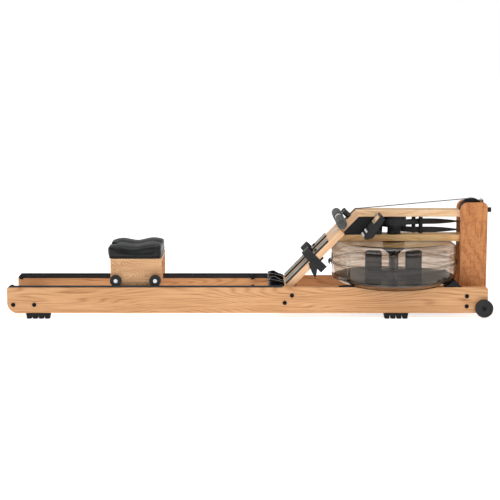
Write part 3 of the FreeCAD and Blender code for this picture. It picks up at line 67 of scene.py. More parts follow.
# ---- measuring the frame --------------------------------------------------------------------
def span(node, direction):
    """Lowest and highest reach of a node's vertices along a direction from the origin."""
    reach = [v.co.dot(direction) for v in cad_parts[node].data.vertices]
    return min(reach), max(reach)


def at(axes, along, y, up):
    """A point given along and up a tilted piece's axes, and across the machine."""
    return axes[0] * along + axes[1] * up + Vector((0, y, 0))


# ---- mesh helpers ---------------------------------------------------------------------------
def make_piece(name, mesh, material):
    """A new object from a bmesh, smooth except at its sharp edges."""
    bmesh.ops.recalc_face_normals(mesh, faces=mesh.faces)
    for face in mesh.faces:
        face.smooth = True
    for edge in mesh.edges:
        edge.smooth = len(edge.link_faces) == 2 and edge.calc_face_angle(0) < SHARP
    data = bpy.data.meshes.new(name)
    mesh.to_mesh(data)
    mesh.free()
    data.materials.append(material)
    piece = bpy.data.objects.new(name, data)
    bpy.context.scene.collection.objects.link(piece)
    return piece


def settle(piece, body, slot, *nodes):
    """The piece rides on its body and stands for the nodes, which it hides. The slot is not used."""
    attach(piece, body)
    if nodes:
        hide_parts(*nodes)
    return piece


def add_loft(mesh, rings, closed=True, caps=True):
    """Faces between rings of points. A closed ring joins its ends, and caps close the first and last."""
    grid = [[mesh.verts.new(p) for p in ring] for ring in rings]
    count = len(rings[0])
    last = count if closed else count - 1
    for low, high in zip(grid, grid[1:]):
        for index in range(last):
            after = (index + 1) % count
            mesh.faces.new((low[index], low[after], high[after], high[index]))
    if caps:
        mesh.faces.new(grid[0][::-1])
        mesh.faces.new(grid[-1])
    return grid


def loft(rings, closed=True, caps=True):
    mesh = bmesh.new()
    add_loft(mesh, rings, closed, caps)
    return mesh


def ring_axes(axis):
    """Two directions square to an axis and to each other."""
    axis = Vector(axis).normalized()
    side = axis.cross(Vector((0, 0, 1)) if abs(axis.z) < 0.9 else Vector((1, 0, 0))).normalized()
    return side, axis.cross(side)


def add_lathe(mesh, profile, origin, axis, count=64):
    """(radius, distance along the axis) points turned about the axis, closed at both ends."""
    side, up = ring_axes(axis)
    axis = Vector(axis).normalized()
    rings = []
    for radius, along in profile:
        ring = []
        for index in range(count):
            turn = 2 * math.pi * index / count
            spoke = side * math.cos(turn) + up * math.sin(turn)
            ring.append(Vector(origin) + axis * along + spoke * radius)
        rings.append(ring)
    add_loft(mesh, rings)


def lathe(profile, origin, axis, count=64):
    mesh = bmesh.new()
    add_lathe(mesh, profile, origin, axis, count)
    return mesh


def dome(radius, start, depth, steps=8):
    """Profile points of a domed end, from the full radius to a small flat."""
    points = []
    for index in range(1, steps + 1):
        angle = math.pi / 2 * index / (steps + 0.5)
        reach = radius * (1 - depth / radius) + depth * math.cos(angle)
        points.append((reach, start + depth * math.sin(angle)))
    return points


def add_prism(mesh, outline, place, low, high):
    """A closed outline of (a, b) points, put in space by place(a, b, depth) at two depths."""
    add_loft(mesh, [[place(a, b, low) for a, b in outline], [place(a, b, high) for a, b in outline]])


def round_edges(mesh, width, segments=3, angle=SHARP):
    """Rounds the sharp edges of a mesh."""
    edges = [e for e in mesh.edges if len(e.link_faces) == 2 and e.calc_face_angle(0) > angle]
    bmesh.ops.bevel(mesh, geom=edges, offset=width, segments=segments, profile=0.5,
                    affect="EDGES", clamp_overlap=True)


def rounded_outline(low_a, high_a, low_b, high_b, radius, steps=8):
    """A rectangle's outline with round corners, counter-clockwise."""
    points = []
    corners = [(high_a - radius, high_b - radius, 0), (low_a + radius, high_b - radius, 1),
               (low_a + radius, low_b + radius, 2), (high_a - radius, low_b + radius, 3)]
    for a, b, quarter in corners:
        for index in range(steps + 1):
            angle = math.pi / 2 * (quarter + index / steps)
            points.append((a + radius * math.cos(angle), b + radius * math.sin(angle)))
    return points


def round_path(points, step):
    """An open path through (a, b, corner radius) points as evenly spaced points, round at its corners."""
    path = [Vector((p[0], p[1])) for p in points]
    dense = [path[0]]
    for index in range(1, len(points) - 1):
        here = path[index]
        back = (path[index - 1] - here).normalized()
        ahead = (path[index + 1] - here).normalized()
        half = back.angle(ahead) / 2
        trim = points[index][2] / math.tan(half)
        centre = here + (back + ahead).normalized() * points[index][2] / math.sin(half)
        first = here + back * trim - centre
        turn = first.angle_signed(here + ahead * trim - centre)
        arc = 12
        for part in range(arc + 1):
            dense.append(centre + Matrix.Rotation(-turn * part / arc, 2) @ first)
    dense.append(path[-1])
    even = [dense[0]]
    travelled = 0.0
    target = step
    for a, b in zip(dense, dense[1:]):
        length = (b - a).length
        while travelled + length >= target and length > 0:
            even.append(a.lerp(b, (target - travelled) / length))
            target += step
        travelled += length
    if (even[-1] - path[-1]).length > step / 3:
        even.append(path[-1])
    return even


def normals_of(path):
    """The left-hand normal at each point of a plane path."""
    result = []
    for index in range(len(path)):
        ahead = path[min(index + 1, len(path) - 1)] - path[max(index - 1, 0)]
        result.append(Vector((-ahead.y, ahead.x)).normalized())
    return result


def strap_section(width, thick, ribs=6):
    """(across, up) outline of webbing: thick round edges, and shallow lengthwise ribs between them."""
    top = []
    count = ribs * 4
    for index in range(count + 1):
        share = index / count
        edge = min(1.0, min(share, 1 - share) * count / 1.5)
        rib = 0.08 * math.cos(2 * math.pi * ribs * share)
        top.append(((share - 0.5) * width, thick / 2 * (0.35 + 0.57 * math.sqrt(edge) + rib)))
    return top + [(a, -b) for a, b in reversed(top)]


def add_strap(mesh, path, place, width, thick, ribs=6):
    """Webbing along a plane path: place(a, b, across) puts its points in space."""
    section = strap_section(width, thick, ribs)
    rings = []
    for point, normal in zip(path, normals_of(path)):
        rings.append([place(*(point + normal * up), across) for across, up in section])
    add_loft(mesh, rings)


# ---- materials ------------------------------------------------------------------------------
def tone(code, alpha=1.0):
    """A screen colour such as D3A275 as scene-linear values."""
    values = []
    for index in (0, 2, 4):
        share = int(code[index:index + 2], 16) / 255
        values.append(share / 12.92 if share <= 0.04045 else ((share + 0.055) / 1.055) ** 2.4)
    return (*values, alpha)


class Finish:
    """A material's nodes, with short calls that add one and join it up."""

    def __init__(self, name, **sockets):
        self.material = bpy.data.materials.new(name)
        self.material.use_nodes = True
        self.tree = self.material.node_tree
        self.shader = self.tree.nodes["Principled BSDF"]
        for socket, value in sockets.items():
            self.shader.inputs[socket.replace("_", " ")].default_value = value
        self.place = self.node("ShaderNodeTexCoord").outputs["Object"]

    def node(self, kind, **settings):
        made = self.tree.nodes.new(kind)
        for key, value in settings.items():
            setattr(made, key, value)
        return made

    def feed(self, socket, value):
        if hasattr(value, "links"):
            self.tree.links.new(value, socket)
        else:
            socket.default_value = value

    def scaled(self, scale, turn=(0, 0, 0), shift=(0, 0, 0)):
        """Object coordinates turned into the grain's own axes, then scaled along them."""
        turned = self.node("ShaderNodeMapping", vector_type="POINT")
        self.feed(turned.inputs["Vector"], self.place)
        turned.inputs["Rotation"].default_value = turn
        sized = self.node("ShaderNodeMapping", vector_type="POINT")
        self.feed(sized.inputs["Vector"], turned.outputs["Vector"])
        sized.inputs["Scale"].default_value = scale
        sized.inputs["Location"].default_value = shift
        return sized.outputs["Vector"]

    def noise(self, vector, scale=1.0, detail=2.0, roughness=0.5, distortion=0.0):
        made = self.node("ShaderNodeTexNoise")
        self.feed(made.inputs["Vector"], vector)
        made.inputs["Scale"].default_value = scale
        made.inputs["Detail"].default_value = detail
        made.inputs["Roughness"].default_value = roughness
        made.inputs["Distortion"].default_value = distortion
        return made.outputs["Fac"]

    def cells(self, vector, scale, feature="DISTANCE_TO_EDGE"):
        made = self.node("ShaderNodeTexVoronoi", feature=feature)
        self.feed(made.inputs["Vector"], vector)
        made.inputs["Scale"].default_value = scale
        return made.outputs["Distance"]

    def wave(self, vector, scale, direction="X", distortion=0.0, profile="SIN"):
        made = self.node("ShaderNodeTexWave", bands_direction=direction, wave_profile=profile)
        self.feed(made.inputs["Vector"], vector)
        made.inputs["Scale"].default_value = scale
        made.inputs["Distortion"].default_value = distortion
        return made.outputs["Fac"]

    def math(self, operation, first, second=0.0, third=0.0):
        made = self.node("ShaderNodeMath", operation=operation)
        for socket, value in zip(made.inputs, (first, second, third)):
            self.feed(socket, value)
        return made.outputs["Value"]

    def axis(self, vector, name):
        made = self.node("ShaderNodeSeparateXYZ")
        self.feed(made.inputs["Vector"], vector)
        return made.outputs[name]

    def spread(self, value, low, high, to_low=0.0, to_high=1.0):
        """A value remapped from one range to another, and held inside it."""
        made = self.node("ShaderNodeMapRange")
        for socket, given in zip(made.inputs, (value, low, high, to_low, to_high)):
            self.feed(socket, given)
        return made.outputs["Result"]

    def mix(self, share, first, second, blend="MIX"):
        made = self.node("ShaderNodeMix", data_type="RGBA", blend_type=blend)
        self.feed(made.inputs[0], share)
        self.feed(made.inputs[6], first)
        self.feed(made.inputs[7], second)
        return made.outputs[2]

    def colour(self, value):
        self.feed(self.shader.inputs["Base Color"], value)

    def roughness(self, value, low, high):
        self.feed(self.shader.inputs["Roughness"], self.spread(value, 0.25, 0.75, low, high))

    def bump(self, height, strength, distance):
        made = self.node("ShaderNodeBump")
        made.inputs["Strength"].default_value = strength
        made.inputs["Distance"].default_value = distance
        self.feed(made.inputs["Height"], height)
        self.feed(self.shader.inputs["Normal"], made.outputs["Normal"])


def wood(name, pale, deep, vein, turn=(0, 0, 0), rings=26, lines=95, figure=0.0, shift=(0, 0, 0), arch=1.1):
    """Oiled flat-sawn wood. The grain runs along X after the turn. A larger arch bends it into flames, and
    figure adds short cross flecks."""
    f = Finish(name, Specular_IOR_Level=0.35)
    broad = f.noise(f.scaled((arch, 7, 8.5), turn, shift), 1.0, 1.8, 0.45, 0.3)
    across = f.axis(f.scaled((1, 1, 1), turn, shift), "Z")
    depth = f.axis(f.scaled((1, 1, 1), turn, shift), "Y")
    count = f.math("MULTIPLY_ADD", broad, rings, f.math("MULTIPLY", across, lines))
    count = f.math("MULTIPLY_ADD", depth, lines * 0.7, count)
    ring = f.math("MULTIPLY_ADD", f.math("SINE", f.math("MULTIPLY", count, 2 * math.pi)), 0.5, 0.5)
    thin = f.math("POWER", ring, 5.0)
    ring = f.math("POWER", ring, 1.6)
    fibre = f.noise(f.scaled((5, 150, 150), turn, shift), 1.0, 4.0, 0.65)
    strand = f.noise(f.scaled((9, 420, 420), turn, shift), 1.0, 3.0, 0.6)
    pores = f.noise(f.scaled((34, 1100, 1100), turn, shift), 1.0, 2.0, 0.65)
    patch = f.noise(f.scaled((2.2, 9, 9), turn, shift), 1.0, 2.0, 0.5)
    shade = f.math("MULTIPLY_ADD", f.spread(fibre, 0.34, 0.66), 0.5, f.math("MULTIPLY", ring, 0.34))
    shade = f.math("MULTIPLY_ADD", f.spread(strand, 0.36, 0.64), 0.3, shade)
    base = f.mix(shade, tone(pale), tone(deep))
    base = f.mix(f.spread(patch, 0.5, 0.74, 0, 0.45), base, tone(deep))
    streak = f.math("MULTIPLY", thin, f.spread(fibre, 0.4, 0.62))
    base = f.mix(f.math("MULTIPLY", streak, 0.55), base, tone(vein))
    base = f.mix(f.spread(pores, 0.6, 0.74, 0, 0.42), base, tone(vein))
    height = f.math("ADD", f.math("MULTIPLY", fibre, 0.6), f.math("MULTIPLY", pores, -0.4))
    if figure:
        fleck = f.noise(f.scaled((70, 210, 60), turn, shift), 1.0, 3.0, 0.62, 0.8)
        base = f.mix(f.spread(fleck, 0.5, 0.64, 0, figure), base, tone(vein))
        base = f.mix(f.spread(fleck, 0.46, 0.34, 0, figure * 0.8), base, tone(pale))
    f.colour(base)
    f.roughness(fibre, 0.38, 0.52)
    f.bump(height, 0.25, 0.0006)
    return f.material


def moulded(name, base, lift, roughness=0.5, grain=900, strength=0.12, **sockets):
    """Moulded plastic or rubber: a faint cloud of a second tone over a fine texture."""
    f = Finish(name, **sockets)
    cloud = f.noise(f.scaled((9, 9, 9)), 1.0, 3.0, 0.6)
    fine = f.noise(f.scaled((grain, grain, grain)), 1.0, 2.0, 0.5)
    f.colour(f.mix(f.spread(cloud, 0.35, 0.65), tone(base), tone(lift)))
    f.roughness(fine, roughness - 0.07, roughness + 0.07)
    f.bump(fine, strength, 0.0003)
    return f.material


def metal(name, base, lift, roughness, brush=(12, 900, 900), **sockets):
    """Brushed metal: the brush marks run along X unless told otherwise."""
    f = Finish(name, Metallic=1.0, **sockets)
    marks = f.noise(f.scaled(brush), 1.0, 2.0, 0.6)
    f.colour(f.mix(f.spread(marks, 0.3, 0.7), tone(base), tone(lift)))
    f.roughness(marks, roughness - 0.06, roughness + 0.1)
    f.bump(marks, 0.08, 0.0002)
    return f.material


def webbing(name, base, lift, turn=(0, 0, 0), pitch=560):
    """Woven nylon: a two-way weave in the strap's own axes, with fuzzy lighter threads."""
    f = Finish(name, Roughness=0.72, Sheen_Weight=0.25, Sheen_Roughness=0.4)
    place = f.scaled((1, 1, 1), turn)
    warp = f.wave(place, pitch, "Y")
    weft = f.wave(place, pitch * 0.8, "X")
    weave = f.math("MULTIPLY", warp, weft)
    fuzz = f.noise(place, 700, 2.0, 0.6)
    f.colour(f.mix(f.math("MULTIPLY", weave, fuzz), tone(base), tone(lift)))
    f.bump(f.math("ADD", weave, f.math("MULTIPLY", fuzz, 0.4)), 0.5, 0.0004)
    return f.material


def leather(name, base, lift):
    """Soft vinyl with a pebbled grain and a faint bloom on its high places."""
    f = Finish(name, Specular_IOR_Level=0.3)
    pebble = f.cells(f.scaled((1, 1, 1)), 620)
    soft = f.noise(f.scaled((26, 26, 26)), 1.0, 3.0, 0.6)
    f.colour(f.mix(f.spread(soft, 0.35, 0.7), tone(base), tone(lift)))
    f.roughness(soft, 0.32, 0.44)
    f.bump(f.math("ADD", f.spread(pebble, 0, 0.28), f.math("MULTIPLY", soft, 0.5)), 0.16, 0.0004)
    return f.material


def foam(name, base, lift):
    """Closed-cell foam: tiny pits and a soft mottle."""
    f = Finish(name, Sheen_Weight=0.08, Sheen_Roughness=0.6, Specular_IOR_Level=0.3)
    pits = f.cells(f.scaled((1, 1, 1)), 900)
    mottle = f.noise(f.scaled((60, 60, 60)), 1.0, 4.0, 0.65)
    f.colour(f.mix(f.spread(mottle, 0.35, 0.7), tone(base), tone(lift)))
    f.roughness(mottle, 0.78, 0.92)
    f.bump(f.math("ADD", pits, f.math("MULTIPLY", mottle, 0.5)), 0.4, 0.0005)
    return f.material


def smoky_shell(name, base, haze, wet):
    """Clear smoked polycarbonate with wavy runs of damp inside and a few drops."""
    f = Finish(name, Transmission_Weight=1.0, IOR=1.12, Coat_Weight=0.6, Coat_Roughness=0.03)
    runs = f.noise(f.scaled((2.6, 2.6, 34)), 1.0, 3.0, 0.6, 1.4)
    drops = f.cells(f.scaled((1, 1, 1)), 120, "F1")
    f.colour(f.mix(f.spread(runs, 0.46, 0.62, 0, wet), tone(base), tone(haze)))
    f.feed(f.shader.inputs["Roughness"], f.spread(runs, 0.4, 0.7, 0.02, 0.12))
    f.bump(f.math("ADD", runs, f.spread(drops, 0.2, 0.05, 0, 0.3)), 0.12, 0.002)
    return f.material


def still_water(name, base):
    f = Finish(name, Base_Color=tone(base), Transmission_Weight=1.0, IOR=1.25)
    ripple = f.noise(f.scaled((14, 14, 14)), 1.0, 2.0, 0.5, 0.4)
    f.feed(f.shader.inputs["Roughness"], f.spread(ripple, 0.3, 0.7, 0.01, 0.06))
    f.bump(ripple, 0.1, 0.003)
    return f.material


ALONG_BOARD = (0, BOARD_ANGLE, 0)
ALONG_Z = (0, math.pi / 2, 0)
ALONG_Y = (0, 0, -math.pi / 2)

RAIL_WOOD = wood("rail_wood", "E4B282", "C18A58", "8A5833")
DECK_WOOD = wood("deck_wood", "FCDCB4", "F3C28F", "D09660", shift=(0.7, 0.2, 0.4), rings=16, lines=42)
BOARD_WOOD = wood("board_wood", "F6CFA6", "E6B386", "BE8656", ALONG_BOARD, rings=16, lines=42)
# A warmer, more saturated copy of the deck wood for the lower deck: painted light that makes up for the shade
# falling on it.
LOWER_WOOD_PAINTED_LIGHT = wood("lower_deck_wood_painted_light", "FFDCA2", "F6BE7E", "CE8C50", shift=(0.2, 0.5, 0.9), rings=16, lines=42)
LEG_WOOD = wood("leg_wood", "D6935A", "BA733F", "98582E", ALONG_Z, rings=14, lines=26, figure=0.5)
SPREADER_WOOD = wood("spreader_wood", "D9A26E", "B47C4C", "82522D", ALONG_Y)
SEAT_WOOD = wood("seat_wood", "E6BA8C", "C08C60", "8A5C36", shift=(0.31, 0, 0.2), rings=34, lines=40,
                 arch=5.5)
TRACK = moulded("track_plastic", "17181A", "212327", 0.42, Specular_IOR_Level=0.35)
RUBBER = moulded("black_rubber", "111213", "19191B", 0.62, strength=0.2, Specular_IOR_Level=0.25)
GUARD = moulded("guard_plastic", "0E0F10", "17181A", 0.46, Specular_IOR_Level=0.3)
HOUSING = moulded("housing_plastic", "1D1E20", "292A2C", 0.5, Specular_IOR_Level=0.3)
CUP_RUBBER = moulded("cup_rubber", "0F1010", "1C1D1D", 0.26)
PLATE = moulded("foot_plate_grey", "9E9A90", "AFAAA0", 0.5, strength=0.2)
SLEEVE = moulded("sleeve_grey", "A5A7A0", "B9BBB4", 0.42)
TREAD = moulded("wheel_tread", "101113", "1A1B1D", 0.4, Specular_IOR_Level=0.35)
ROLLER = moulded("transport_wheel", "1F2021", "2A2B2C", 0.55, strength=0.2, Specular_IOR_Level=0.3)
CASE = moulded("monitor_black", "0F1011", "18191B", 0.42, Specular_IOR_Level=0.35)
KEYS = moulded("key_white", "E4E5E6", "F2F2F2", 0.35)
LIGHT_LCD = moulded("monitor_glass", "E6C6A2", "EFD3B4", 0.12, strength=0.02, Coat_Weight=0.6)
DARK_LCD = moulded("monitor_window", "3B4038", "4B5147", 0.15, strength=0.02, Coat_Weight=0.6)
STEEL = metal("steel", "B9BABD", "D5D6D8", 0.28)
BLACK_STEEL = metal("black_steel", "17181A", "26282A", 0.42)
PADDLE = moulded("paddle_steel", "45484E", "5A5E65", 0.4, strength=0.1)
BADGE = metal("badge_silver", "E0E1E3", "F8F8F9", 0.3)
STRAP = webbing("strap_webbing", "202224", "43464A")
TOE_WEB = webbing("toe_webbing", "141516", "2C2E30", ALONG_BOARD)
SEAT_COVER = leather("seat_cover", "0B0C0D", "141517")
GRIP = foam("grip_foam", "3A3C3A", "565855")
SHELL = smoky_shell("tank_clear", "D6CCC2", "A6917E", 0.9)
WATER = still_water("tank_water", "5A6262")

NODE_FINISH = {
    RAIL_WOOD: ["right_rail", "left_rail"],
    DECK_WOOD: ["upper_deck"],
    LOWER_WOOD_PAINTED_LIGHT: ["lower_deck"],
    BOARD_WOOD: ["footboard"],
    LEG_WOOD: ["right_leg", "left_leg"],
    SPREADER_WOOD: ["rear_spreader", "front_spreaders", "foot_spreader"],
    SEAT_WOOD: ["seat_chassis"],
    TRACK: ["right_track", "left_track", "plate_guides"],
    RUBBER: ["rubber_stops", "feet", "tank_chocks", "tank_plug"],
    GUARD: ["belt_guards", "guide_roller_front", "guide_roller_rear", "front_pulley", "recoil_pulley",
            "drive_drum"],
    HOUSING: ["spindle_housing"],
    SHELL: ["tank_upper", "tank_lower", "tank_gasket"],
    STEEL: ["paddle_shaft", "pulley_axles", "belt_keeper", "seat_wheel_bolts"],
    BLACK_STEEL: ["frame_bolts", "handle_bar", "monitor_arm"],
    PADDLE: ["paddle"],
    STRAP: ["drive_strap_inner", "recoil_strap", "bungee_cord"],
    BADGE: ["badge"],
    TREAD: ["seat_wheel_rear_right", "seat_wheel_rear_left", "seat_wheel_front_right",
            "seat_wheel_front_left"],
    ROLLER: ["right_transport_wheel", "left_transport_wheel"],
    KEYS: ["monitor_key_lower", "monitor_key_upper"],
    CASE: ["monitor_case"],
}


def finish_nodes():
    for material, names in NODE_FINISH.items():
        for name in names:
            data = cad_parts[name].data
            data.materials.clear()
            data.materials.append(material)


# ---- seat -----------------------------------------------------------------------------------
SEAT_CROWN = [(-1.0, 51), (-0.6, 56), (-0.02, 48), (0.6, 59), (1.0, 56)]   # (rear to front, height in mm)
SEAT_EDGE = 8 * MM
SEAT_CORNER = 34 * MM
NOTCH_HALF = 34 * MM
NOTCH_DEPTH = 33 * MM


def eased(stops, place):
    """A smooth curve through (place, value) stops."""
    for (a, low), (b, high) in zip(stops, stops[1:]):
        if place <= b:
            share = max(0.0, (place - a) / (b - a))
            return low + (high - low) * share * share * (3 - 2 * share)
    return stops[-1][1]


def seat_outline(low, high):
    """Plan of the pad: round corners, and a notch for the tail bone at the rear."""
    points = rounded_outline(low.x, high.x, low.y, high.y, SEAT_CORNER, 10)
    centre = (low.y + high.y) / 2
    index = next(i for i, p in enumerate(points) if p[0] <= low.x + 1e-6)
    notch = []
    steps = 14
    for part in range(steps + 1):
        turn = math.pi * part / steps
        notch.append((low.x + NOTCH_DEPTH * math.sin(turn) ** 1.5, centre + NOTCH_HALF * math.cos(turn)))
    return points[:index + 1] + notch + points[index + 1:]


def even_ring(points, count):
    """The same closed outline as count evenly spaced points."""
    loop = [Vector(p) for p in points] + [Vector(points[0])]
    lengths = [(b - a).length for a, b in zip(loop, loop[1:])]
    total = sum(lengths)
    ring = []
    for index in range(count):
        target = total * index / count
        for a, b, length in zip(loop, loop[1:], lengths):
            if target <= length:
                ring.append(a.lerp(b, target / length if length else 0))
                break
            target -= length
    return ring


def make_cushion():
    """The saddle-shaped pad: higher at the front and rear, with a channel down its middle."""
    low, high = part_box("seat_pad")
    centre = (low + high) / 2
    size = high - low
    plan = even_ring(seat_outline(low, high), 160)

    def top(point):
        u = (point.x - centre.x) / (size.x / 2)
        v = (point.y - centre.y) / (size.y / 2)
        crest = eased(SEAT_CROWN, u) * MM
        channel = 5 * MM * math.exp(-(v / 0.18) ** 2) * (1.3 - 0.5 * u)
        fall = 4 * MM * abs(v) ** 2.5
        return low.z + crest - channel - fall

    def ring(share, height, drop=0.0):
        made = []
        for point in plan:
            flat = Vector((centre.x, centre.y)).lerp(point, share)
            z = top(flat) - drop if height is None else height
            made.append(Vector((flat.x, flat.y, z)))
        return made

    floor = low.z + 5 * MM
    rings = [ring(0.5, floor), ring(0.93, floor), ring(0.965, floor + 1 * MM), ring(0.98, floor + 4 * MM)]
    rings += [ring(0.988, floor + 10 * MM), ring(0.995, floor + 18 * MM)]
    for step in range(7):
        angle = math.pi / 2 * step / 6
        rings.append(ring(1.0 - 0.05 * (1 - math.cos(angle)), None, SEAT_EDGE * (1 - math.sin(angle))))
    rings += [ring(share, None) for share in (0.84, 0.76, 0.66, 0.55, 0.43, 0.3, 0.17, 0.06)]
    return make_piece("seat_cushion", loft(rings), SEAT_COVER)


def swell(piece, limit, voxel, floor):
    """Blows the closed piece up like padded fabric, each point held within limit and pinned under floor."""
    data = piece.data
    rest_piece = bpy.data.objects.new("swell", data.copy())
    bpy.context.scene.collection.objects.link(rest_piece)
    view = bpy.context.view_layer
    remesh = rest_piece.modifiers.new("voxels", "REMESH")
    remesh.mode = "VOXEL"
    remesh.voxel_size = voxel
    fine = bpy.data.meshes.new_from_object(rest_piece.evaluated_get(bpy.context.evaluated_depsgraph_get()))
    rest_piece.modifiers.clear()
    rest_piece.data = fine
    rest = [v.co.copy() for v in fine.vertices]
    pins = rest_piece.vertex_groups.new(name="pins")
    pins.add([i for i, p in enumerate(rest) if p.z < floor], 1.0, "REPLACE")
    cloth = rest_piece.modifiers.new("cloth", "CLOTH")
    cloth.settings.use_pressure = True
    cloth.settings.uniform_pressure_force = 4.0
    cloth.settings.effector_weights.gravity = 0.0
    cloth.settings.vertex_group_mass = "pins"
    cloth.settings.tension_stiffness = 40
    cloth.settings.compression_stiffness = 40
    cloth.point_cache.frame_start, cloth.point_cache.frame_end = 1, 20
    for number in range(1, 21):
        bpy.context.scene.frame_set(number)
    blown = rest_piece.evaluated_get(bpy.context.evaluated_depsgraph_get()).to_mesh()
    moved = []
    for start, vertex in zip(rest, blown.vertices):
        shift = vertex.co - start
        if shift.length > limit:
            shift *= limit / shift.length
        moved.append(start + shift)
    for vertex, place in zip(fine.vertices, moved):
        vertex.co = place
    rest_piece.modifiers.clear()
    bpy.context.scene.frame_set(1)
    mesh = bmesh.new()
    mesh.from_mesh(fine)
    for _ in range(2):
        bmesh.ops.smooth_vert(mesh, verts=mesh.verts, factor=0.5,
                              use_axis_x=True, use_axis_y=True, use_axis_z=True)
    for face in mesh.faces:
        face.smooth = True
    mesh.to_mesh(data)
    mesh.free()
    bpy.data.objects.remove(rest_piece)
    view.update()


def build_seat():
    low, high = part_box("seat_pad")
    cushion = make_cushion()
    swell(cushion, 3 * MM, 5 * MM, low.z + 10 * MM)
    settle(cushion, "seat", "seat_cover", "seat_pad")
    outline = rounded_outline(low.x + 5 * MM, high.x - 5 * MM, low.y + 5 * MM, high.y - 5 * MM, 28 * MM)
    pan = bmesh.new()
    add_prism(pan, outline, lambda a, b, z: Vector((a, b, z)), low.z, low.z + 6 * MM)
    round_edges(pan, 1.5 * MM)
    settle(make_piece("seat_pan", pan, GUARD), "seat", "guard_plastic")


# ---- strap to the handle --------------------------------------------------------------------
def build_pull_strap():
    """The free run of webbing: up the board, over the deck's rear corner, and on to the pulley."""
    low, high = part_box("drive_strap")
    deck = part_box("upper_deck")
    corner_x, corner_z = deck[0].x, deck[1].z
    lift, rise = 2.2 * MM, 4.4 * MM
    thick, width = 1.6 * MM, high.y - low.y
    along = span("drive_strap", BOARD[0])[0]
    face = span("footboard", BOARD[1])[1]
    bend = (corner_x - 0.6 * MM, corner_z + lift)
    start = at(BOARD, along + 1 * MM, 0, face + rise).xz
    touch = at(BOARD, along + 30 * MM, 0, face + lift).xz
    end = (high.x, high.z - thick / 2)
    path = round_path([(*start, 0), (*touch, 30 * MM), (*bend, 9 * MM), (*end, 0)], 2.5 * MM)
    mesh = bmesh.new()
    add_strap(mesh, path, lambda a, b, y: Vector((a, y, b)), width, thick)
    strap = make_piece("pull_strap", mesh, STRAP)
    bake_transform(strap)
    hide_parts("drive_strap")


# ---- handle ---------------------------------------------------------------------------------
def build_handle():
    low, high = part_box("handle_grips")
    centre = (low + high) / 2
    radius = (high.x - low.x) / 2
    sleeve_low, sleeve_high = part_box("handle_sleeve")
    inner = sleeve_high.y
    for side, sign in SIDES.items():
        profile = [(radius * 0.7, inner), (radius * 0.93, inner), (radius * 0.97, inner + 1.5 * MM)]
        steps = 12
        for index in range(steps + 1):
            share = index / steps
            swelling = 0.985 - 0.02 * math.cos(2 * math.pi * share)
            profile.append((radius * swelling, inner + 3 * MM + (high.y - inner - 19 * MM) * share))
        profile += dome(profile[-1][0], profile[-1][1], 15 * MM)
        mesh = lathe(profile, (centre.x, 0, centre.z), (0, sign, 0), 72)
        settle(make_piece(side + "_grip", mesh, GRIP), "handle", "grip_foam", "handle_grips")
    sleeve_radius = (sleeve_high.x - sleeve_low.x) / 2
    half = inner
    collar = [(0.84, -1.0), (0.96, -1.0), (1.0, -0.96), (1.0, -0.84),
              (0.93, -0.8), (0.93, -0.42), (0.97, -0.38), (1.0, -0.3)]
    profile = [(sleeve_radius * r, half * a) for r, a in collar]
    profile += [(sleeve_radius * r, -half * a) for r, a in reversed(collar)]
    mesh = lathe(profile, (centre.x, 0, centre.z), (0, 1, 0), 72)
    round_edges(mesh, 0.4 * MM, 2, math.radians(20))
    settle(make_piece("strap_sleeve", mesh, SLEEVE), "handle", "sleeve_grey", "handle_sleeve")


def build_pegs():
    """The two pegs that hold the handle, with a waist and a domed top."""
    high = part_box("handle_rests")[1]
    a0, a1 = span("handle_rests", BOARD[0])
    u0, u1 = span("handle_rests", BOARD[1])
    radius = (a1 - a0) / 2
    for side, sign in SIDES.items():
        y = sign * (high.y - radius)
        tall = u1 - u0
        profile = [(radius, 0), (radius, 3 * MM), (radius * 0.93, 5 * MM), (radius * 0.93, tall - 9 * MM),
                   (radius, tall - 7 * MM)]
        profile += dome(radius, tall - 5 * MM, 5 * MM)
        mesh = lathe(profile, at(BOARD, (a0 + a1) / 2, y, u0), BOARD[1], 48)
        settle(make_piece(side + "_peg", mesh, CUP_RUBBER), "root", "guard_plastic", "handle_rests")


# ---- foot rests -----------------------------------------------------------------------------
RIB_PITCH = 4.6 * MM
PLATE_EDGE = 7 * MM
KNOB_PROFILE = [(6.5, 0), (6.5, 5), (7, 6), (7, 8), (6.2, 9), (3, 9.4), (0.5, 9.4)]   # (radius, height) in mm
KNOB_SHARE = 0.73          # how far up the plate the knob sits
KNOB_SUNK = 1.5 * MM


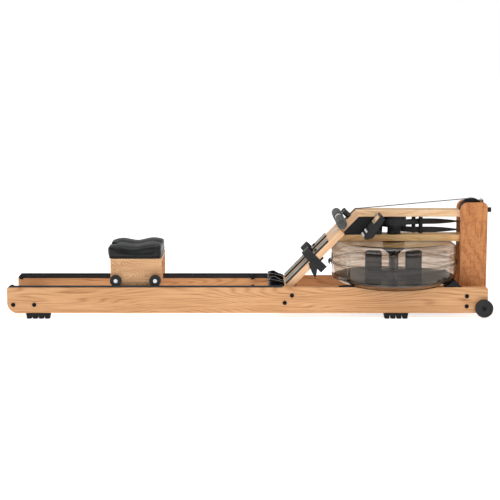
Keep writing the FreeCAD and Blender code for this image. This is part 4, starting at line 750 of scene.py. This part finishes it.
def build_foot_plate(side):
    """A sliding plate with fine cross ribs, a plain band along each edge, and its lock knob."""
    node = side + "_foot_plate"
    a0, a1 = span(node, BOARD[0])
    u0, u1 = span(node, BOARD[1])
    low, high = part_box(node)
    count = int((a1 - a0 - 6 * MM) / RIB_PITCH)
    first = (a0 + a1 - count * RIB_PITCH) / 2
    outline = [(a0, u0), (a1, u0), (a1, u1 - 1.2 * MM), (a1 - 1 * MM, u1)]
    for index in range(count, 0, -1):
        top = first + index * RIB_PITCH
        outline += [(top - 0.3 * MM, u1), (top - 1.3 * MM, u1 - 1.7 * MM), (top - 2.1 * MM, u1 - 1.7 * MM),
                    (top - 3.1 * MM, u1)]
    outline += [(a0 + 1 * MM, u1), (a0, u1 - 1.2 * MM)]
    mesh = bmesh.new()

    def place(a, b, y):
        return at(BOARD, a, y, b)

    add_prism(mesh, outline, place, low.y + PLATE_EDGE, high.y - PLATE_EDGE)
    for y0, y1 in ((low.y, low.y + PLATE_EDGE), (high.y - PLATE_EDGE, high.y)):
        add_prism(mesh, rounded_outline(a0, a1, u0, u1, 2 * MM, 4), place, y0, y1)
    body = side + "_footrest"
    settle(make_piece(side + "_ribbed_plate", mesh, PLATE), body, "foot_plate_grey", node)
    profile = [(r * MM, z * MM) for r, z in KNOB_PROFILE]
    foot = at(BOARD, a0 + (a1 - a0) * KNOB_SHARE, (low.y + high.y) / 2, u1 - KNOB_SUNK)
    mesh = lathe(profile, foot, BOARD[1], 40)
    settle(make_piece(side + "_plate_knob", mesh, CUP_RUBBER), body, "guard_plastic")


CUP_WALL = 3.2 * MM
CUP_INSET = 10 * MM        # cup's wall inside the tips of its fins
CUP_CURVE = 15 * MM
CUP_FINS = 3
RIM_WAVE = 2.4 * MM


def build_heel_cup(side):
    """A ribbed rubber cup, open above and in front, whose fins have wavy rims."""
    node = side + "_heel_cup"
    low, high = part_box(node)
    deep = high.x - low.x - 2 * MM
    half = (high.y - low.y) / 2 - CUP_INSET
    centre_y = (low.y + high.y) / 2
    path = round_path([(low.x + deep, -half, 0), (low.x + CUP_INSET, -half, CUP_CURVE),
                       (low.x + CUP_INSET, half, CUP_CURVE), (low.x + deep, half, 0)], 2.5 * MM)
    outward = [-n for n in normals_of(path)]
    if outward[len(path) // 2].x > 0:
        outward = [-n for n in outward]
    levels = CUP_FINS * 12
    tall = high.z - low.z
    rings = []
    for skin in (0, 1):
        order = range(levels + 1) if skin == 0 else range(levels, -1, -1)
        for level in order:
            share = level / levels
            ring = []
            for index, (point, out) in enumerate(zip(path, outward)):
                travel = index / (len(path) - 1)
                wave = math.sin(travel * 6 * math.pi)
                rim = RIM_WAVE * wave * share
                fin = (0.5 + 0.5 * math.cos(2 * math.pi * CUP_FINS * (share + 0.02 * wave))) ** 3
                reach = CUP_INSET * 0.94 * fin * (0.7 + 0.3 * share) if skin == 0 else -CUP_WALL
                spot = point + out * reach
                ends = 1 - max(0.0, abs(travel - 0.5) * 2 - 0.5) / 0.5 * 0.55
                z = low.z + (tall - 3 * MM) * share * ends + rim * ends
                ring.append(Vector((spot.x, centre_y + spot.y, z)))
            rings.append(ring)
    mesh = bmesh.new()
    grid = add_loft(mesh, rings, closed=False, caps=False)
    for a, b in zip(range(len(grid[0]) - 1), range(1, len(grid[0]))):
        mesh.faces.new((grid[-1][a], grid[-1][b], grid[0][b], grid[0][a]))
    for column in (0, -1):
        mesh.faces.new([row[column] for row in grid])
    floor = rounded_outline(low.x + CUP_INSET, low.x + deep - 20 * MM, -half, half, 12 * MM, 6)
    add_prism(mesh, floor, lambda a, b, z: Vector((a, centre_y + b, z)), low.z, low.z + 3 * MM)
    settle(make_piece(side + "_heel_rest", mesh, CUP_RUBBER), side + "_footrest", "black_rubber", node)


TOE_WIDTH = 37 * MM
TOE_THICK = 2.4 * MM
TOE_ALONG = 138.5 * MM     # strap's lower edge above the plate's lower end
TOE_CLEAR = 2.4 * MM       # beside the board
TOE_DROP = 72 * MM         # end of the strap below the board's face
# Free tail of the toe strap as (x, z, half its width) in mm
TOE_TAIL = [(266, 243, 17), (272, 225, 17), (277, 205, 14), (280, 188, 9), (281, 173, 2)]
TAIL_SLANT = Vector((0.86, 0, 0.5))


def build_toe_strap(side, sign):
    """Webbing over the foot, down past the board's edge, with a pointed free tail beside it."""
    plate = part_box(side + "_foot_plate")
    u1 = span("toe_straps", BOARD[1])[1]
    face = span("footboard", BOARD[1])[1]
    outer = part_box("footboard")[1].y + TOE_CLEAR
    inner = min(abs(plate[0].y), abs(plate[1].y)) - 7 * MM
    centre = span(side + "_foot_plate", BOARD[0])[0] + TOE_ALONG + TOE_WIDTH / 2
    path = round_path([(inner, face + 1.4 * MM, 0), (inner, face + 24 * MM, 10 * MM),
                       (62 * MM, u1 - 1.2 * MM, 18 * MM), (104 * MM, u1 - 2 * MM, 18 * MM),
                       (outer, face + 22 * MM, 16 * MM), (outer, face - TOE_DROP, 0)], 2.2 * MM)

    def place(y, up, across):
        return at(BOARD, centre + across, sign * y, up)

    mesh = bmesh.new()
    add_strap(mesh, path, place, TOE_WIDTH, TOE_THICK, 8)
    tail_out = outer + TOE_THICK + 0.5 * MM
    rings = []
    for index, (x, z, half) in enumerate(TOE_TAIL):
        point = Vector((x * MM, 0, z * MM))
        slant = TAIL_SLANT * half * MM
        out = tail_out + 1.2 * MM * math.sin(index * 0.8)
        near, far = out - TOE_THICK / 3, out + TOE_THICK / 3
        corners = ((point - slant, near), (point + slant, near), (point + slant, far), (point - slant, far))
        rings.append([Vector((p.x, sign * y, p.z)) for p, y in corners])
    add_loft(mesh, rings)
    settle(make_piece(side + "_toe_band", mesh, TOE_WEB), "root", "strap_webbing", "toe_straps")


def build_foot_rests():
    for side, sign in SIDES.items():
        build_foot_plate(side)
        build_heel_cup(side)
        build_toe_strap(side, sign)


# ---- monitor --------------------------------------------------------------------------------
def build_monitor():
    """The display window in its two tones, in a thin bezel."""
    a0, a1 = span("monitor_screen", MONITOR[0])
    u0, u1 = span("monitor_screen", MONITOR[1])
    low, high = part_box("monitor_screen")
    split = a0 + (a1 - a0) * 0.43

    def place(a, y, up):
        return at(MONITOR, a, y, up)

    halves = (("lcd_light", split, a1, LIGHT_LCD), ("lcd_dark", a0, split, DARK_LCD))
    for name, first, last, material in halves:
        mesh = bmesh.new()
        outline = rounded_outline(first + 1 * MM, last - 0.5 * MM, low.y + 3 * MM, high.y - 3 * MM, 2 * MM, 4)
        add_prism(mesh, outline, place, u0, u1)
        settle(make_piece(name, mesh, material), "monitor", "monitor_glass", "monitor_screen")


# ---- water ----------------------------------------------------------------------------------
WATER_DEPTH = 50 * MM
TANK_RADIUS = 275 * MM
WALL_CLEAR = 4.4 * MM      # tank's wall and a hair of clearance
BOWL_CAP = 0.98            # radius of the bowl's shallow bottom
BOWL_CORNER = 46 * MM


def build_water():
    """The water in the lower bowl, with a faintly rippled surface, just clear of the walls."""
    low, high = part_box("tank_lower")
    centre = Vector(((low.x + high.x) / 2, 0))
    inner_r = TANK_RADIUS - WALL_CLEAR
    floor = low.z + WALL_CLEAR
    level = low.z + WATER_DEPTH
    profile = []
    reach = BOWL_CAP - BOWL_CORNER
    lean = math.asin((TANK_RADIUS - BOWL_CORNER) / reach)
    for index in range(1, 13):
        angle = lean * index / 12
        inner_cap = BOWL_CAP - WALL_CLEAR
        profile.append((inner_cap * math.sin(angle), low.z + BOWL_CAP - inner_cap * math.cos(angle)))
    corner_z = low.z + BOWL_CAP - reach * math.cos(lean)
    for index in range(1, 11):
        angle = lean + (math.pi / 2 - lean) * index / 10
        profile.append((TANK_RADIUS - BOWL_CORNER + (BOWL_CORNER - WALL_CLEAR) * math.sin(angle),
                        corner_z - (BOWL_CORNER - WALL_CLEAR) * math.cos(angle)))
    profile = [(r, z) for r, z in profile if z < level] + [(inner_r, level)]
    for share in (0.96, 0.8, 0.6, 0.4, 0.25, 0.1):
        profile.append((inner_r * share, level + 0.6 * MM * math.sin(40 * share)))
    mesh = lathe([(profile[0][0] * 0.3, floor)] + profile, (centre.x, 0, 0), (0, 0, 1), 96)
    settle(make_piece("tank_water", mesh, WATER), "root", "tank_clear")


# ---- camera, lights, floor ------------------------------------------------------------------
def build_camera():
    data = bpy.data.cameras.new("camera")
    data.lens = 106.0
    data.clip_end = 100
    camera = bpy.data.objects.new("camera", data)
    camera.location = (0, -6.39, 1.19)
    camera.rotation_euler = (math.radians(90 - 8.16), 0, 0)
    bpy.context.scene.collection.objects.link(camera)
    bpy.context.scene.camera = camera


HORIZON = 1.0
OVERHEAD = 0.42
BEHIND = 0.4          # sky behind the camera, as a share of the sky ahead
FLOOR_GLOW = 0.74


def add_light(name, size, power, place, target):
    data = bpy.data.lights.new(name, "AREA")
    data.shape = "RECTANGLE"
    data.size, data.size_y = size
    data.energy = power
    light = bpy.data.objects.new(name, data)
    light.location = place
    light.rotation_euler = (Vector(target) - Vector(place)).to_track_quat("-Z", "Y").to_euler()
    bpy.context.scene.collection.objects.link(light)


def build_sky():
    """White at the horizon and below it, and a dimmer grey overhead, as in a studio with a white sweep."""
    world = bpy.data.worlds.new("studio")
    world.use_nodes = True
    tree = world.node_tree
    place = tree.nodes.new("ShaderNodeTexCoord")
    split = tree.nodes.new("ShaderNodeSeparateXYZ")
    level = tree.nodes.new("ShaderNodeMapRange")
    tree.links.new(place.outputs["Generated"], split.inputs["Vector"])
    tree.links.new(split.outputs["Z"], level.inputs["Value"])
    for socket, value in zip(level.inputs[1:5], (0.04, 0.16, HORIZON, OVERHEAD)):
        socket.default_value = value
    ahead = tree.nodes.new("ShaderNodeMapRange")
    tree.links.new(split.outputs["Y"], ahead.inputs["Value"])
    for socket, value in zip(ahead.inputs[1:5], (-0.4, 0.1, BEHIND, 1.0)):
        socket.default_value = value
    both = tree.nodes.new("ShaderNodeMath")
    both.operation = "MULTIPLY"
    tree.links.new(level.outputs["Result"], both.inputs[0])
    tree.links.new(ahead.outputs["Result"], both.inputs[1])
    background = tree.nodes["Background"]
    background.inputs["Color"].default_value = (1, 1, 1, 1)
    tree.links.new(both.outputs["Value"], background.inputs["Strength"])
    bpy.context.scene.world = world


def build_studio():
    build_sky()
    mesh = bmesh.new()
    half = 40
    corners = [(-half, -half), (half, -half), (half, half), (-half, half)]
    mesh.faces.new([mesh.verts.new((x, y, 0)) for x, y in corners])
    floor_finish = Finish("floor", Roughness=0.9, Specular_IOR_Level=0.0, Emission_Strength=FLOOR_GLOW)
    floor_finish.shader.inputs["Emission Color"].default_value = (1, 1, 1, 1)
    soft = floor_finish.noise(floor_finish.scaled((0.8, 0.8, 0.8)), 1.0, 1.0)
    floor_finish.colour(floor_finish.mix(floor_finish.spread(soft, 0.3, 0.7), tone("FAFAFA"), tone("FDFDFD")))
    floor = make_piece("floor", mesh, floor_finish.material)
    add_light("key", (2.6, 1.2), 38, (-1.2, -2.2, 2.9), (0.1, 0, 0.2))
    add_light("fill", (2.0, 1.0), 16, (2.4, -2.2, 2.0), (0.4, 0, 0.2))
    add_light("top", (3.0, 1.2), 34, (0, 0.3, 2.8), (0, 0, 0))
    add_light("glint", (0.5, 0.05), 3, (0.6, -2.4, 1.2), (0.62, 0, 0.3))


build_camera()
build_studio()
finish_nodes()
build_seat()
build_pull_strap()
build_handle()
build_pegs()
build_foot_rests()
build_monitor()
build_water()
bpy.context.scene.view_settings.view_transform = "Standard"
